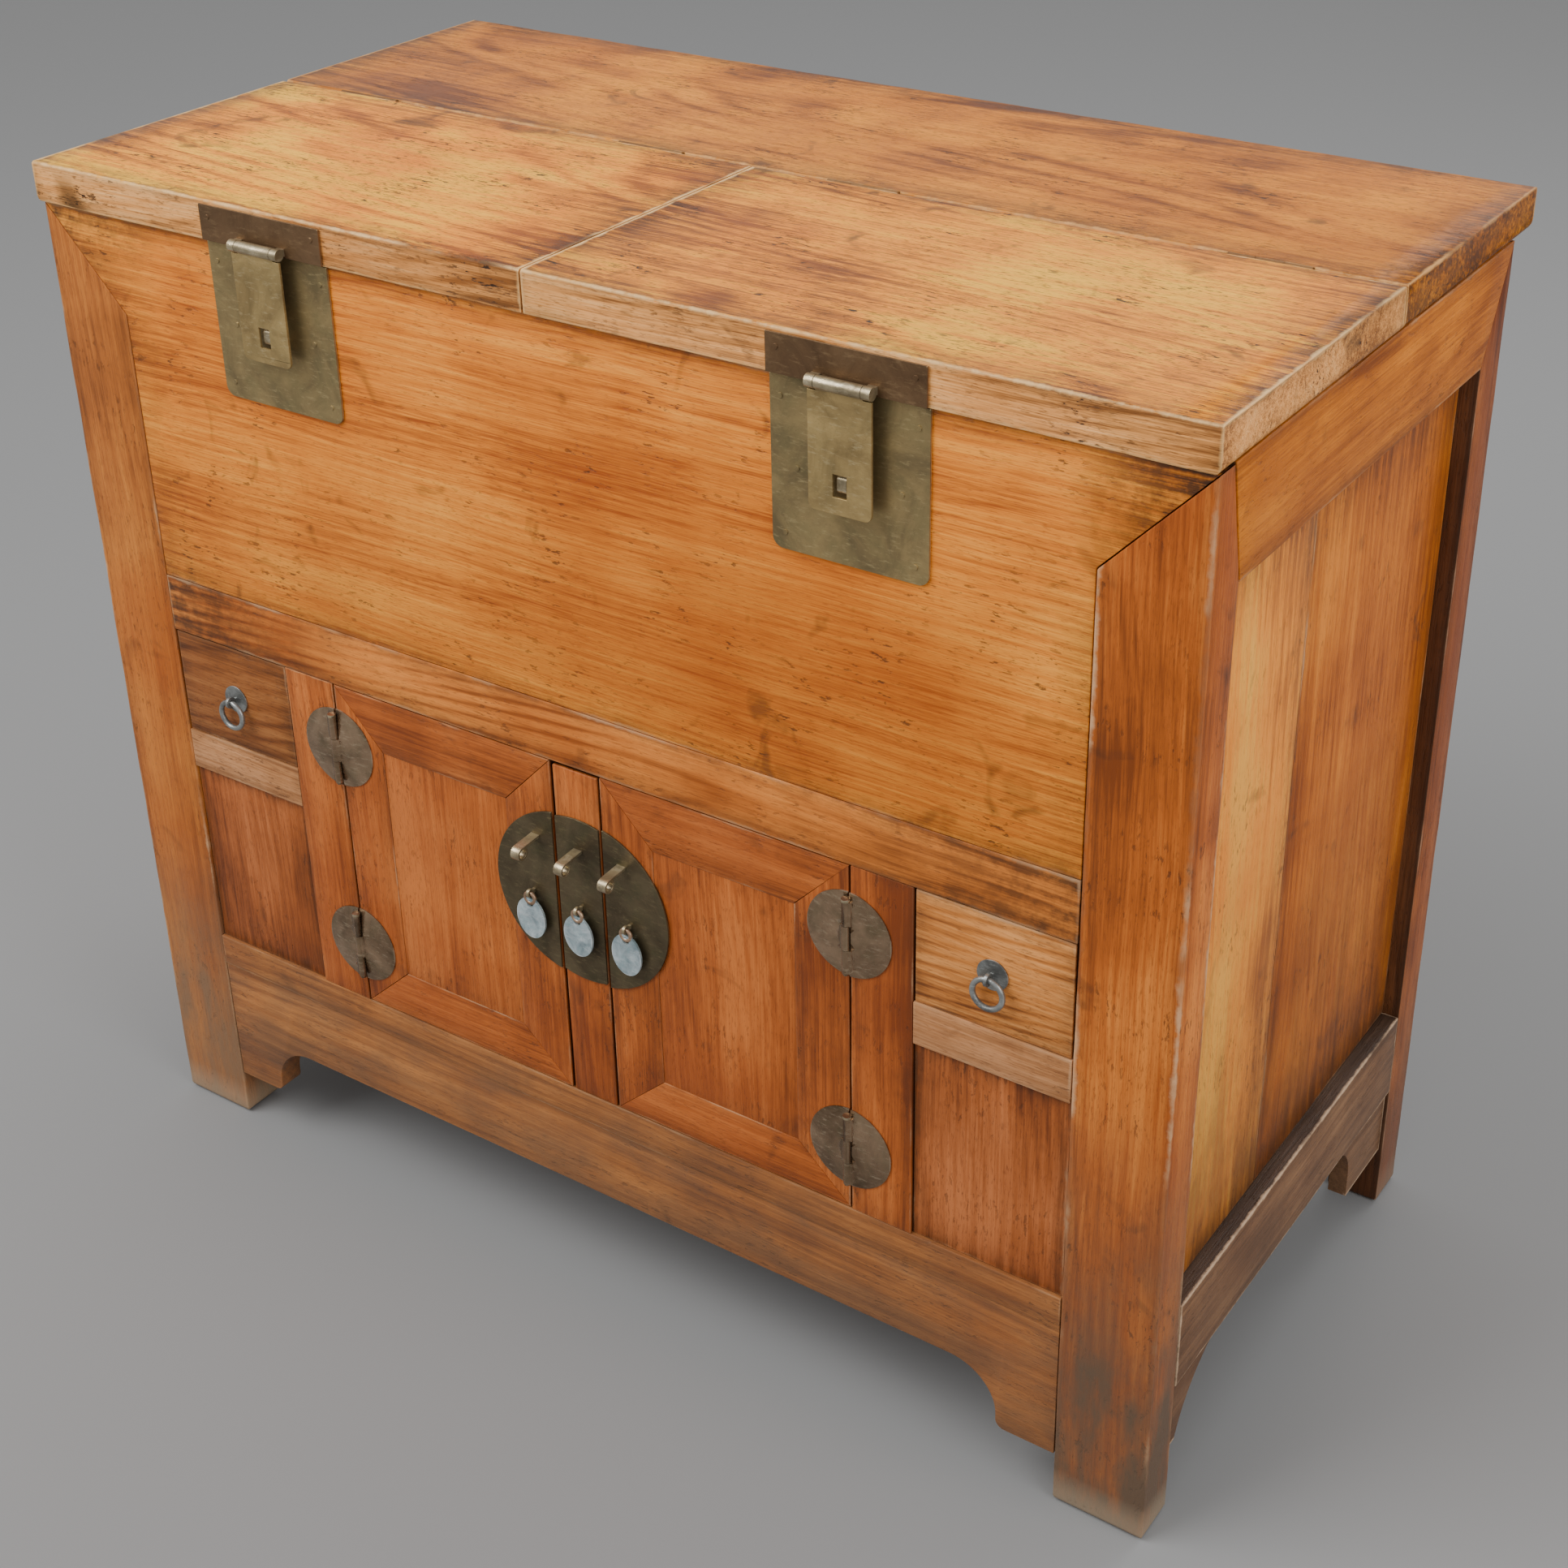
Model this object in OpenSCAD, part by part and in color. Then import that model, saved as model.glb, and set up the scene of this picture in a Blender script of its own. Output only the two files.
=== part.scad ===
// Wooden money chest: two hinged lids over a coin compartment, a cupboard and two drawers below.
// Millimetres, Z up, front towards -Y, origin under the middle of the bounding box.

/* [Overall] */
// Height of the top surface above the floor
total_h = 880; // [840:1:960]
// Width over the outer faces of the posts
body_w = 982; // [930:1:1100]
// Depth from the front of the front posts to the back of the rear posts
body_d = 483; // [460:1:560]
// Thickness of the top boards
top_t = 32; // [28:1:38]
// Top boards past the front of the posts
front_overhang = 4; // [3:0.5:6]
// Top boards past the side of the posts
side_overhang = 2; // [1:0.5:12]
// Rear top board past the back of the rear posts
rear_overhang = 29; // [10:1:40]
// Seam between the lids and the rear top board, behind the front of the posts
seam_y = 268; // [240:1:290]
// Seam between the two lids, from the middle of the front
lid_seam_x = -14; // [-30:1:30]

/* [Frame] */
// Width of a front post, seen from the front
post_w = 75; // [65:1:85]
// Thickness of a front post, seen from the side
post_t = 40; // [36:1:48]
// Width of a rear post, seen from the back
rear_post_w = 45; // [40:1:60]
// Thickness of a rear post, seen from the side
rear_post_t = 41; // [36:1:48]
// Height of the sill, the top of the bottom rail
sill_z = 197; // [190:1:215]
// Height of the opening for the doors
opening_h = 303; // [290:1:320]
// Height of the middle rail
middle_rail_h = 49; // [42:1:60]
// Height of the bottom rail
bottom_rail_h = 29; // [24:1:34]
// Thickness of the upper front board
panel_t = 22; // [18:1:24]
// Height of the mitres at the ends of the upper front board
mitre_h = 78; // [70:1:84]
// Height of the side top rail
side_rail_h = 84; // [78:1:100]
// Thickness of the side rails
side_rail_t = 36; // [32:1:40]
// Height of the side bottom rail
side_sill_h = 77; // [65:1:85]
// Side panels behind the outer faces of the posts
panel_recess = 14; // [10:0.5:18]
// Thickness of the side panels
side_panel_t = 14; // [10:1:16]
// Width of the narrow front board of each side panel
narrow_board_w = 150; // [110:1:180]

/* [Apron] */
// Lowest edge of the front apron
apron_low_z = 46; // [40:1:52]
// Height of the arch of the front apron
arch_z = 98; // [94:1:110]
// Half width of the arch at the brackets
arch_half = 366; // [330:1:370]
// Radius of the hollow of a front bracket
bracket_r = 40; // [34:1:42]
// Lowest edge of the side brackets
side_bracket_z = 58; // [50:1:66]
// Length of the front bracket of a side
front_bracket_l = 100; // [90:1:110]
// Radius of its hollow
front_bracket_r = 94; // [86:1:98]
// Length of the rear bracket of a side
rear_bracket_l = 112; // [100:1:124]
// Radius of its hollow
rear_bracket_r = 40; // [30:1:50]
// Thickness of a side bracket
side_bracket_t = 16; // [10:1:19]

/* [Doors and drawers] */
// Width of the opening between the inner stiles
opening_w = 482; // [470:1:510]
// Width of an inner stile
stile_w = 51; // [45:1:56]
// Width of the loose centre stile
centre_w = 42; // [40:1:46]
// Thickness of the loose centre stile
centre_t = 26; // [24:1:32]
// Clearance over the loose centre stile, which is how far it lifts
centre_lift = 3; // [2.8:0.1:4]
// Thickness of a door
door_t = 20; // [18:1:24]
// Width of the upright members of a door
door_stile_w = 46; // [40:1:52]
// Height of the top member of a door
door_top_h = 48; // [40:1:54]
// Height of the bottom member of a door
door_bottom_h = 43; // [36:1:50]
// Height of the rail under a drawer
drawer_rail_h = 36; // [30:1:44]
// Height of the opening for a drawer
drawer_open_h = 94; // [88:1:104]
// Length of a drawer from front to back
drawer_l = 300; // [260:1:320]
// Thickness of a drawer front
drawer_front_t = 18; // [16:1:22]
// Thickness of the boards of a drawer box
drawer_board_t = 8; // [6:1:10]

/* [Round hardware] */
// Radius of the round lock plate
lock_plate_r = 72; // [68:0.5:80]
// How far outwards the arcs of the plates on the doors are set
plate_spread = 9.5; // [0:0.5:12]
// Height of the middle of the round lock plate
lock_plate_z = 384; // [379:1:389]
// Thickness of the flat plates
plate_t = 1.6; // [1.2:0.1:2]
// How far a door staple stands out of its plate
staple_out = 25; // [21:1:29]
// Distance between door staples
staple_step = 41; // [40:0.5:43]
// Height of the eyes of the door staples
staple_z = 423.5; // [419:0.5:427]
// Radius of the eye in a door staple
staple_eye_r = 3.8; // [3:0.1:4.2]
// Width of a door staple
staple_w = 8; // [6:0.5:9]
// Distance between the pendants
pendant_step = 46; // [44:0.5:48]
// Height of the eyes that the pendants hang from
pendant_z = 378; // [375:1:381]
// Length of a pendant from its eye to its lower end
pendant_l = 40.5; // [37:0.5:42]
// Width of a pendant
pendant_w = 27.5; // [24:0.5:30]
// Radius of a door hinge plate
disc_r = 35; // [34:0.5:37]
// Height of the middle of the lower door hinges
low_hinge_z = 255; // [250:1:260]
// Height of the middle of the upper door hinges
high_hinge_z = 443; // [438:1:448]
// Radius of the ring of a drawer pull
pull_ring_r = 11.6; // [10:0.2:13]
// Radius of the wire of a drawer pull
pull_wire_r = 2.2; // [1.6:0.1:2.4]

/* [Hasps] */
// Width of the hasp plates
hasp_plate_w = 118; // [108:1:126]
// Height of the plate on the lid edge
lid_plate_h = 27; // [22:0.5:27.5]
// Height of the plate under it
lock_plate_h = 120; // [112:1:130]
// Width of a hasp
hasp_w = 47; // [42:1:52]
// Length of a hasp below its pin
hasp_l = 86; // [82:1:88]
// Radius of the hasp knuckles
knuckle_r = 4.5; // [4:0.1:4.8]
// Width of the slot in a hasp
slot_w = 10.5; // [9.5:0.5:12]
// Height of the slot in a hasp
slot_h = 15.5; // [15:0.5:18]
// Middle of the slot below the pin
slot_drop = 66.5; // [64:0.5:68]

/* [Hidden] */
$fn = 96;
eps = 0.01;
seat = 0.3;
half_w = body_w / 2;
in_x = half_w - post_w;
top_z = total_h - top_t;
head_z = sill_z + opening_h;
panel_z = head_z + middle_rail_h;
apron_top_z = sill_z - bottom_rail_h;
panel_set = 0.6;
panel_back = panel_set + panel_t;
face_set = 0.5;
rail_in = half_w - side_rail_t;
panel_out = half_w - panel_recess;
panel_in = panel_out - side_panel_t;
bracket_out = half_w - 3;
rear_y = body_d - rear_post_t;
back_y = body_d + rear_overhang;
top_half = half_w + side_overhang;
side_rail_z = top_z - side_rail_h;
side_sill_z = sill_z - side_sill_h;
ear_t = 12;
apron_set = 0.8;
apron_t = 23.2;
opening_half = opening_w / 2;
stile_out = opening_half + stile_w;
centre_half = centre_w / 2;
door_gap = 2.5;
hinge_gap = 1.5;
door_in = centre_half + door_gap;
door_out = opening_half - hinge_gap;
door_low = sill_z + 1;
door_high = head_z - 1;
coin_floor_z = head_z + 12;
floor_t = 16;
back_panel_y = body_d - 22;
back_panel_t = 14;
rear_rail_t = 36;
rear_rail_h = 60;
rear_rail_y = body_d - rear_rail_t;
seam_rail_w = 44;
seam_rail_h = 36;
drawer_z = head_z - drawer_open_h;
drawer_gap = 1;
drawer_set = 1;
guide_t = 11;
runner_l = 320;
lid_gap = 1;
lid_round = 3;
edge_round = 6;
// the sunk lid hinges
lid_axis_drop = 2;
lid_axis_z = total_h - lid_axis_drop;
lid_knuckle_r = 2;
lid_pin_r = 0.9;
lid_leaf_t = 1;
lid_leaf_h = 22;
lid_hinge_l = 60;
lid_knuckle_l = 20;
run_fit = 0.05;
lid_x0 = [-top_half, lid_seam_x + lid_gap / 2];
lid_x1 = [lid_seam_x - lid_gap / 2, top_half];
// the hasp sets
hasp_x = [(lid_x0[0] + lid_x1[0]) / 2, (lid_x0[1] + lid_x1[1]) / 2 + 3];
lid_plate_y = -front_overhang - 1.5;
lid_plate_z = top_z + 1.5;
pin_y = lid_plate_y - 1 - knuckle_r;
pin_z = top_z + 5;
hasp_t = 2;
hasp_back = pin_y + hasp_t / 2;
hasp_pin_r = 1.8;
hasp_mid = 34.4;
hasp_barrel = 48;
lug_gap = 0.3;
lock_face = panel_set - plate_t;
lock_top = top_z - 0.5;
hasp_staple_tip = hasp_back + 0.5;
hasp_staple_h = 12;
hasp_staple_w = 7;
hasp_eye_r = 2.05;
slot_z = pin_z - slot_drop;
nail_r = 1.8;
nail_h = 0.7;
// the door hinges
hinge_x = opening_half - hinge_gap / 2;
hinge_y = -4.5;
hinge_knuckle_r = 3;
hinge_pin_r = 1.3;
hinge_clear_r = 3.7;
hinge_head_r = 3.3;
hinge_head_h = 2.2;
barrel_h = 60;
mid_knuckle_h = 20;
disc_edge = 0.8;
disc_dome = 3.4;
dome_r = (disc_r * disc_r + disc_dome * disc_dome) / (2 * disc_dome);
// the round lock plate, staples and pendants
door_face = face_set - plate_t;
staple_curl_r = 5.6;
staple_rise = 1;
staple_strap_t = 2.4;
staple_tip_y = door_face - staple_out;
staple_eye_y = staple_tip_y + staple_curl_r;
eye_out = 5.5;
eye_y = door_face - eye_out;
eye_rim_r = 3.6;
eye_t = 2.4;
loop_r = 4.5;
loop_wire_r = 1.6;
eye_hole_r = loop_wire_r + 0.35;
pendant_t = 1.8;
tag_drop = 4.4;
tag_hole_r = 3;
tag_hole_drop = 9.5;
// the drawer pulls
rosette_r = 12;
rosette_t = 1.2;
pull_face = drawer_set - rosette_t;
pull_out = 6;
pull_y = pull_face - pull_out;
pull_x = (stile_out + in_x) / 2;
pull_drop = 48;
pull_z = head_z - pull_drop;
pull_rim_r = 4.8;
pull_eye_t = 2.5;
pull_hole_r = pull_wire_r + 0.2;
front_reach = -staple_tip_y;
front_y = -(back_y - front_reach) / 2;

// helpers

module placed() {
    translate([0, front_y, 0])
        children();
}

module on_side(s) {
    if (s < 0) {
        mirror([1, 0, 0])
            children();
    } else {
        children();
    }
}

module box(x0, x1, y0, y1, z0, z1) {
    translate([x0, y0, z0])
        cube([x1 - x0, y1 - y0, z1 - z0]);
}

// a YZ profile drawn out along X
module along_x(x0, x1) {
    translate([x0, 0, 0])
        rotate([90, 0, 90])
            linear_extrude(x1 - x0)
                children();
}

// an XZ profile drawn out along Y
module along_y(y0, y1) {
    translate([0, y1, 0])
        rotate([90, 0, 0])
            linear_extrude(y1 - y0)
                children();
}

module rod_x(x0, x1, y, z, r) {
    translate([x0, y, z])
        rotate([0, 90, 0])
            cylinder(h = x1 - x0, r = r);
}

module rod_z(z0, z1, x, y, r) {
    translate([x, y, z0])
        cylinder(h = z1 - z0, r = r);
}

module rod_y(y0, y1, x, z, r) {
    translate([x, y1, z])
        rotate([90, 0, 0])
            cylinder(h = y1 - y0, r = r);
}

// frame

module front_post(s) {
    color("#a8632c")
    placed() on_side(s)
        difference() {
            box(in_x, half_w, 0, post_t, 0, top_z);
            along_y(-1, panel_back)
                polygon([[in_x - 1, top_z - mitre_h], [in_x, top_z - mitre_h],
                    [half_w, top_z], [half_w, top_z + 1], [in_x - 1, top_z + 1]]);
            along_x(half_w - ear_t, half_w + 1)
                polygon([[post_t, side_rail_z], [post_t + 1, side_rail_z],
                    [post_t + 1, top_z + 1], [panel_back, top_z + 1], [panel_back, top_z]]);
        }
}

module rear_post(s) {
    color("#8f5226")
    placed() on_side(s)
        difference() {
            box(half_w - rear_post_w, half_w, rear_y, body_d, 0, top_z);
            along_x(half_w - ear_t, half_w + 1)
                polygon([[rear_y, side_rail_z], [body_d, top_z], [body_d, top_z + 1],
                    [rear_y - 1, top_z + 1], [rear_y - 1, side_rail_z]]);
        }
}

module front_panel() {
    color("#b8702f")
    placed()
        along_y(panel_set, panel_back)
            polygon([[-in_x, panel_z], [in_x, panel_z], [in_x, top_z - mitre_h],
                [half_w, top_z], [-half_w, top_z], [-in_x, top_z - mitre_h]]);
}

module middle_rail() {
    color("#b06a30")
    placed()
        difference() {
            box(-in_x, in_x, 0, post_t, head_z, panel_z);
            box(-centre_half + 8 - seat, centre_half - 8 + seat, 8 - seat, 18 + seat,
                head_z - 1, head_z + 16);
        }
}

module bottom_rail() {
    color("#a8642e")
    placed()
        difference() {
            box(-in_x, in_x, 0, post_t, apron_top_z, sill_z);
            box(-centre_half + 8 - seat, centre_half - 8 + seat, 8 - seat, 18 + seat,
                sill_z - 2.8, sill_z + 1);
        }
}

module apron_profile() {
    nose = 8;
    difference() {
        translate([-in_x, apron_low_z])
            square([2 * in_x, apron_top_z - apron_low_z]);
        translate([-(arch_half - bracket_r), apron_low_z - 1])
            square([2 * (arch_half - bracket_r), arch_z - apron_low_z + 1]);
        translate([-arch_half, apron_low_z - 1])
            square([2 * arch_half, arch_z - bracket_r - apron_low_z + 1]);
        for (s = [-1, 1])
            translate([s * (arch_half - bracket_r), arch_z - bracket_r])
                circle(r = bracket_r);
        for (s = [0, 1])
            mirror([s, 0])
                translate([arch_half, apron_low_z])
                    difference() {
                        translate([-1, -1])
                            square([nose + 1, nose + 1]);
                        translate([nose, nose])
                            circle(r = nose);
                    }
    }
}

module front_apron() {
    color("#9c6034")
    placed()
        along_y(apron_set, apron_set + apron_t)
            apron_profile();
}

module inner_stile(s) {
    color("#a8602c")
    placed() on_side(s)
        box(opening_half, stile_out, 0, post_t, sill_z, head_z);
}

module drawer_rails() {
    color("#9a7450")
    placed()
        for (s = [-1, 1])
            on_side(s)
                box(stile_out, in_x, 0, post_t, drawer_z - drawer_rail_h, drawer_z);
}

module lower_panels() {
    color("#9c5428")
    placed()
        for (s = [-1, 1])
            on_side(s)
                box(stile_out, in_x, 3, 15, sill_z, drawer_z - drawer_rail_h);
}

module side_top_rail(s) {
    color("#b87a38")
    placed() on_side(s)
        union() {
            box(rail_in, half_w, post_t, rear_y, side_rail_z, top_z);
            along_x(half_w - ear_t, half_w)
                polygon([[post_t + 1, side_rail_z], [post_t, side_rail_z], [panel_back, top_z],
                    [post_t + 1, top_z]]);
            along_x(half_w - ear_t, half_w)
                polygon([[rear_y - 1, side_rail_z], [rear_y, side_rail_z], [body_d, top_z],
                    [rear_y - 1, top_z]]);
        }
}

module side_bottom_rail(s) {
    color("#94603a")
    placed() on_side(s)
        box(rail_in, half_w, post_t, rear_y, side_sill_z, sill_z);
}

// a bracket that reaches out from y = 0 and meets the rail above it in a hollow
module side_bracket_profile(reach, r) {
    mid_z = side_sill_z - r;
    difference() {
        translate([0, side_bracket_z])
            square([reach - sqrt(2 * r), side_sill_z - side_bracket_z]);
        translate([reach, mid_z])
            circle(r = r);
        translate([reach - r, mid_z - total_h])
            square([r + 1, total_h]);
    }
}

module side_brackets() {
    color("#7c4c2a")
    placed()
        for (s = [-1, 1])
            on_side(s) {
                along_x(bracket_out - side_bracket_t, bracket_out)
                    translate([post_t, 0])
                        side_bracket_profile(front_bracket_l, front_bracket_r);
                along_x(bracket_out - side_bracket_t, bracket_out)
                    translate([rear_y, 0])
                        mirror([1, 0])
                            side_bracket_profile(rear_bracket_l, rear_bracket_r);
            }
}

module side_panel(s) {
    color("#a87038")
    placed() on_side(s) {
        box(panel_in, panel_out, post_t, post_t + narrow_board_w - 0.2, sill_z, side_rail_z);
        box(panel_in, panel_out, post_t + narrow_board_w, rear_y, sill_z, side_rail_z);
    }
}

module rear_rails() {
    color("#85502a")
    placed() {
        box(-half_w + rear_post_w, half_w - rear_post_w, rear_rail_y, body_d, top_z - rear_rail_h, top_z);
        box(-half_w + rear_post_w, half_w - rear_post_w, rear_rail_y, body_d, side_sill_z, sill_z);
    }
}

module back_panel() {
    color("#85502a")
    placed()
        box(-half_w + rear_post_w, half_w - rear_post_w, back_panel_y, back_panel_y + back_panel_t,
            sill_z, top_z - rear_rail_h);
}

module seam_rail() {
    color("#8f5a2e")
    placed()
        box(-rail_in, rail_in, seam_y - seam_rail_w / 2, seam_y + seam_rail_w / 2,
            top_z - seam_rail_h, top_z);
}

// a floor board that fits between the rear posts
module floor_board(half, y1, z0, z1) {
    union() {
        box(-half, half, post_t, rear_y, z0, z1);
        box(-half_w + rear_post_w, half_w - rear_post_w, rear_y - 1, y1, z0, z1);
    }
}

module coin_floor() {
    color("#8f5a2e")
    placed()
        floor_board(panel_in, back_panel_y, coin_floor_z, coin_floor_z + floor_t);
}

module cupboard_floor() {
    color("#8f5a2e")
    placed()
        floor_board(rail_in, rear_rail_y, sill_z - floor_t, sill_z);
}

module drawer_housings() {
    color("#85552e")
    placed()
        for (s = [-1, 1])
            on_side(s)
                union() {
                    box(stile_out - guide_t - 0.5, in_x + guide_t + 0.5, post_t, post_t + runner_l,
                        drawer_z - 12, drawer_z);
                    box(stile_out - guide_t - 0.5, stile_out - 0.5, post_t, post_t + runner_l,
                        drawer_z - 1, coin_floor_z);
                    box(in_x + 0.5, in_x + guide_t + 0.5, post_t, post_t + runner_l,
                        drawer_z - 1, coin_floor_z);
                }
}

// top

// YZ section of a lid, with worn arrises at the front and at the seam
module lid_section() {
    low = top_z + seat;
    y0 = -front_overhang;
    y1 = seam_y - lid_gap / 2;
    union() {
        translate([y0 + lid_round, low])
            square([y1 - y0 - 2 * lid_round, total_h - low]);
        translate([y0, low + 1.5])
            square([y1 - y0, total_h - low - 1.5 - lid_round]);
        translate([y0 + 1.5, low])
            square([y1 - y0 - 1.5, 10]);
        translate([y0 + 1.5, low + 1.5])
            circle(r = 1.5);
        translate([y0 + lid_round, total_h - lid_round])
            circle(r = lid_round);
        translate([y1 - lid_round, total_h - lid_round])
            circle(r = lid_round);
    }
}

// XZ outline of a top board whose outer end has a worn lower arris
module end_outline(x0, x1, outer) {
    difference() {
        translate([x0, top_z - 1])
            square([x1 - x0, top_t + 2]);
        translate([outer < 0 ? x0 : x1, top_z + seat / 2])
            mirror([outer < 0 ? 0 : 1, 0])
                difference() {
                    translate([-1, -2])
                        square([edge_round + 1, edge_round + 2]);
                    translate([edge_round, edge_round])
                        circle(r = edge_round);
                }
    }
}

// places its children at the middle of each hinge of a lid
module at_lid_hinges(i) {
    inset = 95;
    for (x = [lid_x0[i] + inset, lid_x1[i] - inset])
        translate([x, 0, 0])
            children();
}

module lid_channel(y0, y1) {
    rod_x(-lid_hinge_l / 2 - seat, lid_hinge_l / 2 + seat, seam_y, lid_axis_z, lid_knuckle_r + seat);
    box(-lid_hinge_l / 2, lid_hinge_l / 2, y0, y1, lid_axis_z - lid_leaf_h, lid_axis_z);
}

module lid_board(i) {
    color("#c08a4a")
    placed()
        difference() {
            intersection() {
                along_x(lid_x0[i], lid_x1[i])
                    lid_section();
                along_y(-front_overhang - 1, seam_y)
                    end_outline(lid_x0[i], lid_x1[i], i == 0 ? -1 : 1);
            }
            at_lid_hinges(i)
                lid_channel(seam_y - lid_gap / 2 - lid_leaf_t, seam_y);
        }
}

module rear_section() {
    y0 = seam_y + lid_gap / 2;
    under = 12;
    difference() {
        union() {
            translate([y0 + lid_round, top_z])
                square([back_y - y0 - 2 * lid_round, top_t]);
            translate([y0, top_z])
                square([back_y - y0, top_t - lid_round]);
            translate([y0 + lid_round, total_h - lid_round])
                circle(r = lid_round);
            translate([back_y - lid_round, total_h - lid_round])
                circle(r = lid_round);
        }
        translate([back_y - under, top_z])
            difference() {
                translate([0, -1])
                    square([under + 1, under + 1]);
                translate([0, under])
                    circle(r = under);
            }
    }
}

module rear_top_board() {
    color("#b8803c")
    placed()
        difference() {
            intersection() {
                along_x(-top_half, top_half)
                    rear_section();
                along_y(seam_y, back_y + 1)
                    end_outline(-top_half, top_half, -1);
                along_y(seam_y, back_y + 1)
                    end_outline(-top_half, top_half, 1);
            }
            for (i = [0, 1])
                at_lid_hinges(i)
                    lid_channel(seam_y, seam_y + lid_gap / 2 + lid_leaf_t);
        }
}

module lid_hinges_fixed() {
    y0 = seam_y + lid_gap / 2;
    half = lid_hinge_l / 2;
    mid = lid_knuckle_l / 2;
    color("#4a4036")
    placed()
        for (i = [0, 1])
            at_lid_hinges(i)
                union() {
                    difference() {
                        box(-half, half, y0, y0 + lid_leaf_t, lid_axis_z - lid_leaf_h, lid_axis_z);
                        rod_x(-mid - seat, mid + seat, seam_y, lid_axis_z, lid_knuckle_r + 0.25);
                    }
                    rod_x(-half, -mid - seat, seam_y, lid_axis_z, lid_knuckle_r);
                    rod_x(mid + seat, half, seam_y, lid_axis_z, lid_knuckle_r);
                    rod_x(-half, half, seam_y, lid_axis_z, lid_pin_r);
                }
}

module lid_hinges(i) {
    y1 = seam_y - lid_gap / 2;
    half = lid_hinge_l / 2;
    mid = lid_knuckle_l / 2;
    color("#4a4036")
    placed()
        at_lid_hinges(i)
            difference() {
                union() {
                    difference() {
                        box(-half, half, y1 - lid_leaf_t, y1, lid_axis_z - lid_leaf_h, lid_axis_z);
                        rod_x(-half - 1, -mid, seam_y, lid_axis_z, lid_knuckle_r + 0.25);
                        rod_x(mid, half + 1, seam_y, lid_axis_z, lid_knuckle_r + 0.25);
                    }
                    rod_x(-mid, mid, seam_y, lid_axis_z, lid_knuckle_r);
                }
                rod_x(-mid - 1, mid + 1, seam_y, lid_axis_z, lid_pin_r + run_fit);
            }
}

// hasps

module nail(x, y, z) {
    rod_y(y - nail_h, y + 0.2, x, z, nail_r);
}

module lid_plate(i) {
    half = hasp_plate_w / 2;
    end = hasp_barrel / 2;
    mid = hasp_mid / 2 + lug_gap;
    color("#5a4436")
    placed()
        translate([hasp_x[i], 0, 0])
            union() {
                box(-half, half, lid_plate_y, -front_overhang, lid_plate_z, lid_plate_z + lid_plate_h);
                for (s = [-1, 1]) {
                    rod_x(s > 0 ? mid : -end, s > 0 ? end : -mid, pin_y, pin_z, knuckle_r);
                    box(s > 0 ? mid : -end, s > 0 ? end : -mid, pin_y, lid_plate_y + 0.2,
                        pin_z - 2, pin_z + 3.5);
                    nail(s * (half - 8), lid_plate_y, lid_plate_z + lid_plate_h - 9);
                }
                rod_x(-end, end, pin_y, pin_z, hasp_pin_r);
            }
}

module hasp(i) {
    mid = hasp_mid / 2;
    half = hasp_w / 2;
    low = pin_z - hasp_l;
    shoulder = pin_z - knuckle_r - 0.9;
    corner = 5;
    color("#84704a")
    placed()
        translate([hasp_x[i], 0, 0])
            difference() {
                union() {
                    rod_x(-mid, mid, pin_y, pin_z, knuckle_r);
                    box(-mid, mid, pin_y - hasp_t / 2, hasp_back, shoulder - 1, pin_z);
                    along_y(pin_y - hasp_t / 2, hasp_back)
                        union() {
                            translate([-half, low + corner])
                                square([hasp_w, shoulder - low - corner]);
                            translate([-half + corner, low])
                                square([hasp_w - 2 * corner, corner + 1]);
                            translate([-half + corner, low + corner])
                                circle(r = corner);
                            translate([half - corner, low + corner])
                                circle(r = corner);
                        }
                }
                rod_x(-mid - 1, mid + 1, pin_y, pin_z, hasp_pin_r + run_fit);
                box(-slot_w / 2, slot_w / 2, pin_y - 3, pin_y + 3, slot_z - slot_h / 2,
                    slot_z + slot_h / 2);
            }
}

module lock_plate(i) {
    half = hasp_plate_w / 2;
    low = lock_top - lock_plate_h;
    corner = 8;
    tip_r = 3;
    stem = hasp_staple_h / 2;
    color("#6b6040")
    placed()
        translate([hasp_x[i], 0, 0])
            union() {
                along_y(lock_face, panel_set)
                    union() {
                        translate([-half, low + corner])
                            square([hasp_plate_w, lock_plate_h - corner]);
                        translate([-half + corner, low])
                            square([hasp_plate_w - 2 * corner, corner + 1]);
                        translate([-half + corner, low + corner])
                            circle(r = corner);
                        translate([half - corner, low + corner])
                            circle(r = corner);
                    }
                along_x(-hasp_staple_w / 2, hasp_staple_w / 2)
                    difference() {
                        union() {
                            translate([hasp_staple_tip + tip_r, slot_z - stem])
                                square([lock_face + 0.2 - hasp_staple_tip - tip_r, hasp_staple_h]);
                            translate([hasp_staple_tip, slot_z - stem + tip_r])
                                square([tip_r + 1, hasp_staple_h - 2 * tip_r]);
                            translate([hasp_staple_tip + tip_r, slot_z - stem + tip_r])
                                circle(r = tip_r);
                            translate([hasp_staple_tip + tip_r, slot_z + stem - tip_r])
                                circle(r = tip_r);
                        }
                        translate([hasp_staple_tip + 0.85 + hasp_eye_r, slot_z])
                            circle(r = hasp_eye_r);
                    }
                for (s = [-1, 1]) {
                    nail(s * (half - 8), lock_face, lock_top - 14);
                    nail(s * (half - 10), lock_face, low + 12);
                    nail(s * (half - 20), lock_face, slot_z);
                }
            }
}

// doors

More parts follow.
